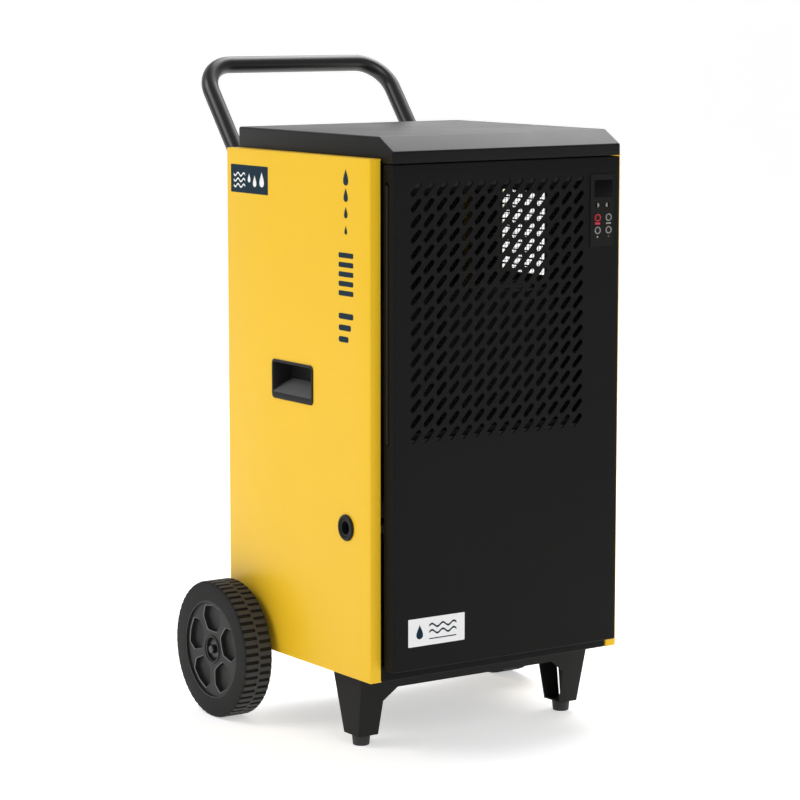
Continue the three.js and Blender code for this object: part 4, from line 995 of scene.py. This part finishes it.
# ---- outlet guard --------------------------------------------------------------------------
# A flat black frame with ten thin bars behind the window of the right side panel.
GUARD_BARS = 10
BAR_HALF = 1.1 * MM
BAR_INSET = 0.6 * MM
low, high = guard_low, guard_high
y0, z0 = low[1:] + GUARD_BORDER
y1, z1 = high[1:] - GUARD_BORDER
parts = [
    block(low, (high[0], high[1], z0)), block((low[0], low[1], z1), high),
    block((low[0], low[1], z0), (high[0], y0, z1)), block((low[0], y1, z0), (high[0], high[1], z1))]
pitch = (z1 - z0) / (GUARD_BARS + 1)
for z in z0 + pitch * np.arange(1, GUARD_BARS + 1):
    parts.append(block((low[0] + BAR_INSET, y0, z - BAR_HALF), (high[0] - BAR_INSET, y1, z + BAR_HALF)))
put(mesh_piece("outlet_bars", *together(*parts), BLACK_COAT), "black_paint", "outlet_guard")


# ---- air filter ----------------------------------------------------------------------------
# A plastic frame with a very open net of round strands slides in two grooved rails, out of the
# slot in the left side of the front panel.
STRAND = 0.35 * MM
NET_PITCH = 5.2 * MM
NET = finish("filter_strands", (0.018, 0.019, 0.0195), 0.65, depth=0.0001, mottle=0.15, specular=0.15)
frame_low, frame_high = node_box("filter_frame")
net_low, net_high = node_box("filter_net")
BORDER = net_low[0] - frame_low[0]


def ring_frame(low, high, border, edge):
    """A flat rectangular ring along Y: loops (inset, depth) carried round the four corners."""
    y0, y1 = low[1], high[1]
    loops = [(edge, y0), (0, y0 + edge), (0, y1 - edge), (edge, y1), (border - edge, y1),
             (border, y1 - edge), (border, y0 + edge), (border - edge, y0)]
    points = []
    for inset, y in loops:
        x0, x1, z0, z1 = low[0] + inset, high[0] - inset, low[2] + inset, high[2] - inset
        points += [[x0, y, z0], [x1, y, z0], [x1, y, z1], [x0, y, z1]]
    faces = quads(8, 4, wrap=True).tolist() + [[28 + k, k, (k + 1) % 4, 28 + (k + 1) % 4] for k in range(4)]
    return np.array(points), faces


def strands(low, high, pitch, radius, axis):
    """Square strands along X or Z at an even pitch over the box, as one array."""
    across = 2 if axis == 0 else 0
    count = int((high[across] - low[across]) / pitch)
    at = low[across] + (np.arange(count) + 0.5) * (high[across] - low[across]) / count
    middle = (low[1] + high[1]) / 2 + (radius * 0.9 if axis == 0 else -radius * 0.9)
    turn = np.radians([45, 135, 225, 315])
    points = np.empty((count, 2, 4, 3))
    points[..., axis] = np.array([low[axis], high[axis]])[None, :, None]
    points[..., 1] = middle + radius * np.cos(turn)
    points[..., across] = at[:, None, None] + radius * np.sin(turn)
    one = np.array([[0, 1, 5, 4], [1, 2, 6, 5], [2, 3, 7, 6], [3, 0, 4, 7], [3, 2, 1, 0], [4, 5, 6, 7]])
    faces = (one[None] + 8 * np.arange(count)[:, None, None]).reshape(-1, 4)
    return points.reshape(-1, 3), faces


border = ring_frame(frame_low, frame_high, BORDER, 0.8 * MM)
border = mesh_piece("filter_border", *border, BLACK_PLASTIC)
put(border, "black_plastic", "filter_frame", body="air_filter")
net = together(*[strands(net_low, net_high, NET_PITCH, STRAND, a) for a in (0, 2)])
put(mesh_piece("filter_strands", *net, NET), "filter_mesh", "filter_net", body="air_filter")
for node in ("filter_rail_lower", "filter_rail_upper"):
    coat_node(node, BLACK_PLASTIC)


# ---- front panel ---------------------------------------------------------------------------
# A black tray, 1.5 mm thick, that stands proud of the side panels: 14 by 17 slanted slots for
# the air, a window behind the controls and a slot in the left return for the filter.
FRONT_SHEET = 1.5 * MM
FRONT_FOLD = 2.0 * MM
SLOT_COLUMNS, SLOT_ROWS = 14, 17
SLOT_PITCH = np.array([21.3, 21.0]) * MM
SLOT_FIRST = np.array([-156.3, 785.3]) * MM
SLOT_LENGTH, SLOT_WIDTH = 23.5 * MM, 7.5 * MM
SLOT_ANGLE = math.radians(47)
panel_low, panel_high = node_box("front_panel")
plate_low, plate_high = node_box("control_plate")


def obround(u, v):
    """Sixteen points round a slanted slot with round ends, from the tip at its lower left,
    counter-clockwise."""
    ends = np.radians([180, 225, 270, 270, 270, 270, 270, 315, 0, 45, 90, 90, 90, 90, 90, 135])
    half = (SLOT_LENGTH - SLOT_WIDTH) / 2
    along = half * np.array([-1, -1, -1, -0.5, 0, 0.5, 1, 1, 1, 1, 1, 0.5, 0, -0.5, -1, -1])
    x = along + SLOT_WIDTH / 2 * np.cos(ends)
    y = SLOT_WIDTH / 2 * np.sin(ends)
    return np.stack([u + x * math.cos(SLOT_ANGLE) - y * math.sin(SLOT_ANGLE),
                     v + x * math.sin(SLOT_ANGLE) + y * math.cos(SLOT_ANGLE)], axis=1)


def front_panel():
    """The front tray, with its grid lines on the slots, the window and the filter slot."""
    window_x = (plate_low[0] + 2.5 * MM, plate_high[0] - 1.2 * MM)
    us = SLOT_FIRST[0] + (np.arange(4 * SLOT_COLUMNS + 1) / 4 - 0.5) * SLOT_PITCH[0]
    vs = SLOT_FIRST[1] - (np.arange(4 * SLOT_ROWS + 1)[::-1] / 4 - 0.5) * SLOT_PITCH[1]
    us = np.unique(np.concatenate([us, window_x, [panel_low[0] + FRONT_FOLD, panel_high[0] - FRONT_FOLD]]))
    vs = np.unique(np.concatenate([vs, [panel_low[2] + FRONT_FOLD, panel_high[2] - FRONT_FOLD]]))

    patches = []
    for column in range(SLOT_COLUMNS):
        for row in range(SLOT_ROWS):
            u, v = SLOT_FIRST + [column, -row] * SLOT_PITCH
            i0, i1 = [near(us, u + s * SLOT_PITCH[0] / 2) for s in (-1, 1)]
            j0, j1 = [near(vs, v + s * SLOT_PITCH[1] / 2) for s in (-1, 1)]
            patches.append((i0, i1, j0, j1, obround(u, v)))
    window = (near(us, window_x[0]), near(us, window_x[1]),
              near(vs, plate_low[2] + 6 * MM), near(vs, plate_high[2] - 5 * MM))
    filter_z = (vs[near(vs, frame_low[2] - 2 * MM)], vs[near(vs, frame_high[2] + 2 * MM)])
    deep = (frame_low[1] - 1.8 * MM - panel_low[1], frame_high[1] + 1.8 * MM - panel_low[1])

    def filter_slot(u, v, depth, side):
        within = (v > filter_z[0]) & (v < filter_z[1]) & (depth > deep[0]) & (depth < deep[1])
        return (side[..., 0] < -0.99) & within

    points, faces = tray(
        us, vs, FRONT_FOLD, panel_high[1] - panel_low[1], patches, [window], lines=deep, gap=filter_slot)
    placed = np.stack([points[:, 0], panel_low[1] + points[:, 2], points[:, 1]], axis=1)
    return mesh_piece("front_sheet", placed, faces, BLACK_COAT, (0, -1, 0), FRONT_SHEET)


put(front_panel(), "black_paint", "front_panel")


# ---- plate on the front --------------------------------------------------------------------
# A white plate low on the front panel, printed with a drop, two waves and a line.
PLATE_LIFT = 0.3 * MM


def ahead_of(face):
    """The placing of prints on an upright face that looks forward: (x, height, lift), with x and height
    in millimetres, to a place."""
    def place(points):
        return np.stack([points[:, 0] * MM, face - points[:, 2], points[:, 1] * MM], axis=1)
    return place


on_front = ahead_of(panel_low[1])
plate = mesh_piece("front_plate", *film([rounded_box(-169, -74, 157, 196, 1)], PLATE_LIFT, on_front), PALE)
put(plate, "black_paint")
figures = [drop_shape(-150, 177, 8)] + [wave_band(-134, -88, v, 2.4, 2.6, 2.5) for v in (184, 175)]
figures.append(rounded_box(-134, -88, 165, 166.4, 0.6))
put(mesh_piece("front_plate_figures", *film(figures, PLATE_LIFT + FILM, on_front), NAVY), "black_paint")


# ---- controls ------------------------------------------------------------------------------
# A dark foil-covered plate with a smoked window, two half-moon lamps and four ring buttons; each
# button moves on its own, and a circuit board sits behind them.
DISPLAY_HOLE = (16.1 * MM, 12.2 * MM, 1.2 * MM)
LAMP_HOLE = 3.7 * MM
BUTTON_HOLE = 5.7 * MM
PRINT = 0.12 * MM
FOIL = finish(
    "control_foil", (0.0075, 0.0078, 0.007), 0.45, grain=800, depth=0.00005, mottle=0.08, specular=0.14)
GLOSS = finish(
    "display_gloss", (0.003, 0.0032, 0.0035), 0.4, grain=100, depth=0.00001, mottle=0.05, specular=0.05)
RED = finish("button_red", (0.56, 0.02, 0.045), 0.35, grain=500, depth=0.00003, mottle=0.04, specular=0.45)
WHITE = finish("button_white", (0.27, 0.27, 0.26), 0.35, grain=500, depth=0.00003, mottle=0.03, specular=0.45)
BOARD = finish("solder_mask", (0.03, 0.2, 0.075), 0.4, grain=400, depth=0.00008, mottle=0.2, specular=0.5)
coat_node("control_board", BOARD)


openings = [(*middle_of("display_lens")[[0, 2]], *DISPLAY_HOLE)]
for node, radius in {
        "indicator_left": LAMP_HOLE, "indicator_right": LAMP_HOLE, "power_button": BUTTON_HOLE,
        "mode_button": BUTTON_HOLE, "minus_button": BUTTON_HOLE, "plus_button": BUTTON_HOLE}.items():
    openings.append((*middle_of(node)[[0, 2]], radius, radius, radius))
us, vs, patches = holed([plate_low[0], plate_high[0]], [plate_low[2], plate_high[2]], openings, 1.2 * MM)
points, faces = sheet(us, vs, patches)
points = np.stack([points[:, 0], np.full(len(points), plate_low[1]), points[:, 1]], axis=1)
plate = mesh_piece("control_foil_plate", points, faces, FOIL, (0, -1, 0), plate_high[1] - plate_low[1])
put(plate, "control_foil", "control_plate")
low, high = node_box("display_lens")
put(mesh_piece("display_window", *block(low, high), GLOSS, bevel=0.4 * MM), "display_gloss", "display_lens")
on_plate = ahead_of(plate_low[1])


def half_disc(u, v, radius, side):
    """Outline of the left (-1) or right (1) half of a disc."""
    t = np.radians(np.linspace(-90, 90, 16))
    return np.stack([u + side * radius * np.cos(t), v + radius * np.sin(t)], axis=1)[::side]


for node, side in (("indicator_left", 1), ("indicator_right", -1)):
    low, high = node_box(node)
    lens = np.array([
        [low[1], 0], [low[1], 3 * MM], [low[1] + 0.3 * MM, 3.3 * MM], [high[1], 3.3 * MM], [high[1], 0]])
    lens = mesh_piece(node + "_lens", *lathe(lens, middle_of(node) * [1, 0, 1], "y", 32), GLOSS)
    put(lens, "lamp_white", node)
    moon = film([half_disc(*middle_of(node)[[0, 2]] / MM, 3.1, side)], PRINT, on_plate)
    put(mesh_piece(node + "_moon", *moon, WHITE), "lamp_white")
power, mode = middle_of("power_button") / MM, middle_of("mode_button") / MM
minus, plus = middle_of("minus_button") / MM, middle_of("plus_button") / MM


def disc(u, v, radius):
    """Outline of a disc."""
    t = np.linspace(0, 2 * math.pi, 20, endpoint=False)
    return np.stack([u + radius * np.cos(t), v + radius * np.sin(t)], axis=1)


spot = disc((power[0] + mode[0]) / 2 - 1.2, middle_of("indicator_left")[2] / MM, 1.4)
put(mesh_piece("sensor_spot", *film([spot], 0.1 * MM, on_plate), GLOSS), "display_gloss")
marks = [rounded_box(mode[0] - 4.4, mode[0] + 4.4, mode[2] - 9.6, mode[2] - 7.2, 0.8),
         disc(minus[0], minus[2] - 9.2, 1.5), disc(plus[0], plus[2] - 9.2, 0.8)]
put(mesh_piece("key_marks", *film(marks, PRINT, on_plate), WHITE), "button_white")
bar = rounded_box(power[0] - 4.6, power[0] + 4.6, power[2] - 9.8, power[2] - 6.6, 1)
put(mesh_piece("power_mark", *film([bar], PRINT, on_plate), RED), "button_red")
ring = np.array([
    [0.3, 5.2], [0.05, 5.1], [0, 4.9], [0, 4.1], [0.05, 3.9], [0.4, 3.7], [5.7, 3.7], [5.7, 5.2],
    [4.2, 5.2], [4.2, 6.6], [2.6, 6.6], [2.6, 5.2]]) * MM
cap = np.array([[0.7, 0], [0.6, 1.6], [0.4, 2.9], [0.6, 3.4], [0.9, 3.6], [5, 3.6], [5, 0]]) * MM
for key, slot, colour in (
        ("power", "button_red", RED), ("mode", "button_white", WHITE), ("minus", "button_white", WHITE),
        ("plus", "button_white", WHITE)):
    node, body = key + "_button", key + "_push"
    x, _, z = middle_of(node)
    centre = (x, node_box(node)[0][1], z)
    put(mesh_piece(node + "_ring", *lathe(ring, centre, "y", 40), colour), slot, node, body=body)
    put(mesh_piece(node + "_cap", *lathe(cap, centre, "y", 32), BLACK_PLASTIC), "black_plastic", body=body)


# ---- rear panel ----------------------------------------------------------------------------
# A black tray between the rear flanges with two columns of slots for the air, a hole with the
# gland of the mains lead, and a row of pan-head screws down each side.
REAR_SLOT_X = (-65 * MM, 65 * MM)
REAR_SLOT_Z = 403.5 * MM
REAR_SLOT_PITCH = 16 * MM
REAR_SLOT_ROWS = 12
REAR_SLOT_HALF = (55 * MM, 3.5 * MM)
GLAND_HOLE = 9 * MM
low, high = node_box("rear_panel")
gland = middle_of("mains_inlet_gland")
openings = [(x, REAR_SLOT_Z + i * REAR_SLOT_PITCH, *REAR_SLOT_HALF, REAR_SLOT_HALF[1])
            for x in REAR_SLOT_X for i in range(REAR_SLOT_ROWS)]
openings.append((gland[0], gland[2], GLAND_HOLE, GLAND_HOLE, GLAND_HOLE))
us, vs, patches = holed(
    [low[0] + FRONT_FOLD, high[0] - FRONT_FOLD], [low[2] + FRONT_FOLD, high[2] - FRONT_FOLD],
    openings, 2.5 * MM)
points, faces = tray(us, vs, FRONT_FOLD, high[1] - low[1], patches)
points = np.stack([points[:, 0], high[1] - points[:, 2], points[:, 1]], axis=1)
put(mesh_piece("rear_sheet", points, faces, BLACK_COAT, (0, 1, 0), FRONT_SHEET), "black_paint", "rear_panel")
REAR = high[1]
nut = np.array([[0.3, 11.6], [0.3, 12.9], [0.8, 13.6], [4.4, 13.6], [5, 12.8], [5, 11.6]]) * MM
dome = np.array([
    [-8, 4], [-8, 8.5], [0.3, 8.5], [0.3, 11.5], [6, 11.5], [7.5, 11], [11, 9.6], [14, 7.8],
    [15.6, 6.4], [16, 5.4], [15.8, 4.4], [15, 4]]) * MM
at = (gland[0], REAR, gland[2])
parts = together(lathe(nut * [1, 0.88], at, "y", 6), lathe(dome, at, "y", 40))
put(mesh_piece("gland", *parts, BLACK_PLASTIC), "black_plastic", "mains_inlet_gland")


def screw_heads(places, back):
    """Pan-head screws that point out of the rear, as one array. Each head is a dome with a cross recess,
    whose radius follows 1 + 0.3 cos 4t."""
    rows = np.array([
        [0, 4.1, 0], [0.9, 4.1, 0], [1.7, 3.5, 0], [2.2, 2.4, 0], [2.3, 1.75, 1], [1.3, 1.3, 1], [1.2, 0, 0]])
    turn = 2 * math.pi * np.arange(24) / 24
    radius = rows[:, 1:2] * (1 + 0.3 * rows[:, 2:] * np.cos(4 * turn)) * MM
    out = np.broadcast_to(rows[:, :1] * MM, radius.shape)
    one = np.stack([radius * np.cos(turn), out, radius * np.sin(turn)], axis=2).reshape(-1, 3)
    count = len(one)
    points = np.array([[x, back, z] for x, z in places])[:, None] + one[None]
    face = quads(len(rows), 24, wrap=True)
    faces = (face[None] + count * np.arange(len(places))[:, None, None]).reshape(-1, 4).tolist()
    faces += [[count * k + i for i in range(24)] for k in range(len(places))]
    return points.reshape(-1, 3), faces


places = [(s * 186 * MM, z * MM) for s in (-1, 1) for z in (150, 320, 490, 660, 800)]
put(mesh_piece("rear_screws", *screw_heads(places, REAR), ZINC), "zinc_steel")


# ---- handle --------------------------------------------------------------------------------
# One 25 mm tube bent four times: two legs up the rear, a lean outwards and the bar across. Two
# straps with a saddle over each leg hold it, each with four screws.
HANDLE_RADIUS = 12.5 * MM
HANDLE_BEND = 50 * MM
HANDLE_KNEE = 762 * MM
PLUG = 2.5 * MM
STRAP_SHEET = 2.5 * MM
STRAP_FOLD = 2.5 * MM
SADDLE_HALF, SADDLE_BEND = 16 * MM, 15.99 * MM
HANDLE_COAT = finish("handle_satin_black", (0.01, 0.0101, 0.0103), 0.33, depth=0.00006, specular=0.6)


def sweep(path, radius, sides):
    """A round rod along a path: rings across the path, p + r (n cos t + b sin t), with b along the
    cross product of the path's direction and a fixed skew line, and a flat end at each side."""
    path = np.asarray(path, float)
    keep = np.concatenate([[True], np.linalg.norm(np.diff(path, axis=0), axis=1) > 1e-6])
    path = path[keep]
    along = np.gradient(path, axis=0)
    along /= np.linalg.norm(along, axis=1)[:, None]
    second = np.cross(along, np.array([0.29, 0.77, -0.57]))
    second /= np.linalg.norm(second, axis=1)[:, None]
    first = np.cross(second, along)
    turn = 2 * math.pi * np.arange(sides) / sides
    radius = np.broadcast_to(radius, len(path))[:, None, None]
    rings = path[:, None] + radius * (
        first[:, None] * np.cos(turn)[None, :, None] + second[:, None] * np.sin(turn)[None, :, None])
    last = (len(path) - 1) * sides
    ends = [list(range(sides)), list(range(last, last + sides))[::-1]]
    return rings, quads(len(path), sides, wrap=True).tolist() + ends


low, high = node_box("handle_tube")
half, foot_y = high[0] - HANDLE_RADIUS, low[1] + HANDLE_RADIUS
bar_y, bar_z = high[1:] - HANDLE_RADIUS
path = rounded_path([
    [-half, foot_y, low[2] + PLUG], [-half, foot_y, HANDLE_KNEE], [-half, bar_y, bar_z],
    [half, bar_y, bar_z], [half, foot_y, HANDLE_KNEE], [half, foot_y, low[2] + PLUG]], HANDLE_BEND, 14)
tube = mesh_piece("handle_bend", *sweep(path, HANDLE_RADIUS, 40), HANDLE_COAT, crease=50)
put(tube, "handle_paint", "handle_tube")
plug = np.array([
    [0, 0], [0, 10], [0.7, 11.8], [1.8, 12.5], [2.5, 12.5], [2.5, 10.4], [20, 10.2], [20, 0]]) * MM
plug[:, 0] += low[2]
plugs = together(*[lathe(plug, (s * half, foot_y, 0), "z", 32) for s in (-1, 1)])
put(mesh_piece("handle_plugs", *plugs, BLACK_PLASTIC), "black_plastic")
for node in ("handle_strap_upper", "handle_strap_lower"):
    low, high = node_box(node)
    flat, crown = low[1] + STRAP_SHEET, high[1]
    line = [[low[0], flat]]
    for leg in (-half, half):
        x0, x1 = leg - SADDLE_HALF, leg + SADDLE_HALF
        line += [[x0, flat], [x0, crown], [x1, crown], [x1, flat]]
    line.append([high[0], flat])
    line = rounded_path(line, [STRAP_FOLD, SADDLE_BEND, SADDLE_BEND, STRAP_FOLD] * 2, 8)
    z = np.linspace(low[2], high[2], 3)
    points = np.stack([
        np.broadcast_to(line[:, :1], (len(line), 3)), np.broadcast_to(line[:, 1:], (len(line), 3)),
        np.broadcast_to(z, (len(line), 3))], axis=2)
    strap = mesh_piece(node + "_sheet", points, quads(len(line), 3), LEG_COAT, (0, 1, 0), STRAP_SHEET)
    put(strap, "leg_paint", node)
    places = [(s * x * MM, (low[2] + high[2]) / 2) for s in (-1, 1) for x in (184, 132)]
    put(mesh_piece(node + "_screws", *screw_heads(places, flat), ZINC), "zinc_steel")


# ---- lid -----------------------------------------------------------------------------------
# A folded black cover over the whole casing with a bevel along its front edge; all folds have a
# small radius, and its lower edge is open.
LID_SHEET = 1.5 * MM
LID_FOLD = 2.2 * MM
LID_BEVEL = (34.5 * MM, 19.5 * MM)
LID_COAT = finish("lid_satin_coat", BLACK, 0.37, grain=1100, depth=0.00006, mottle=0.1, specular=0.2)
low, high = node_box("top_cover")
section = rounded_path([
    [low[1], low[2]], [low[1], high[2] - LID_BEVEL[1]], [low[1] + LID_BEVEL[0], high[2]], [high[1], high[2]],
    [high[1], low[2]]], 3.5 * MM, 8)
along = np.gradient(section, axis=0)
normal = np.stack([-along[:, 1], along[:, 0]], axis=1)
normal /= np.linalg.norm(normal, axis=1)[:, None]
bend = np.linspace(0, math.pi / 2, 6)
across = LID_FOLD * (1 - np.sin(bend))
across = np.concatenate([low[0] + across[::-1], high[0] - across])
inset = LID_FOLD * (1 - np.cos(bend))
inset = np.concatenate([inset[::-1], inset])
yz = section[None] - normal[None] * inset[:, None, None]
yz[:, [0, -1], 1] = low[2]
points = np.concatenate([np.broadcast_to(across[:, None, None], yz.shape[:2] + (1,)), yz], axis=2)
count = len(section)
sides = [list(range(count)), list(range((len(across) - 1) * count, len(across) * count))[::-1]]
faces = quads(len(across), count).tolist() + sides
put(mesh_piece("lid_sheet", points, faces, LID_COAT, (0, 0, 1), LID_SHEET), "black_paint", "top_cover")
places = [(s * x * MM, low[2] + 12 * MM) for s in (-1, 1) for x in (70, 165)]
put(mesh_piece("lid_screws", *screw_heads(places, high[1]), ZINC), "zinc_steel")
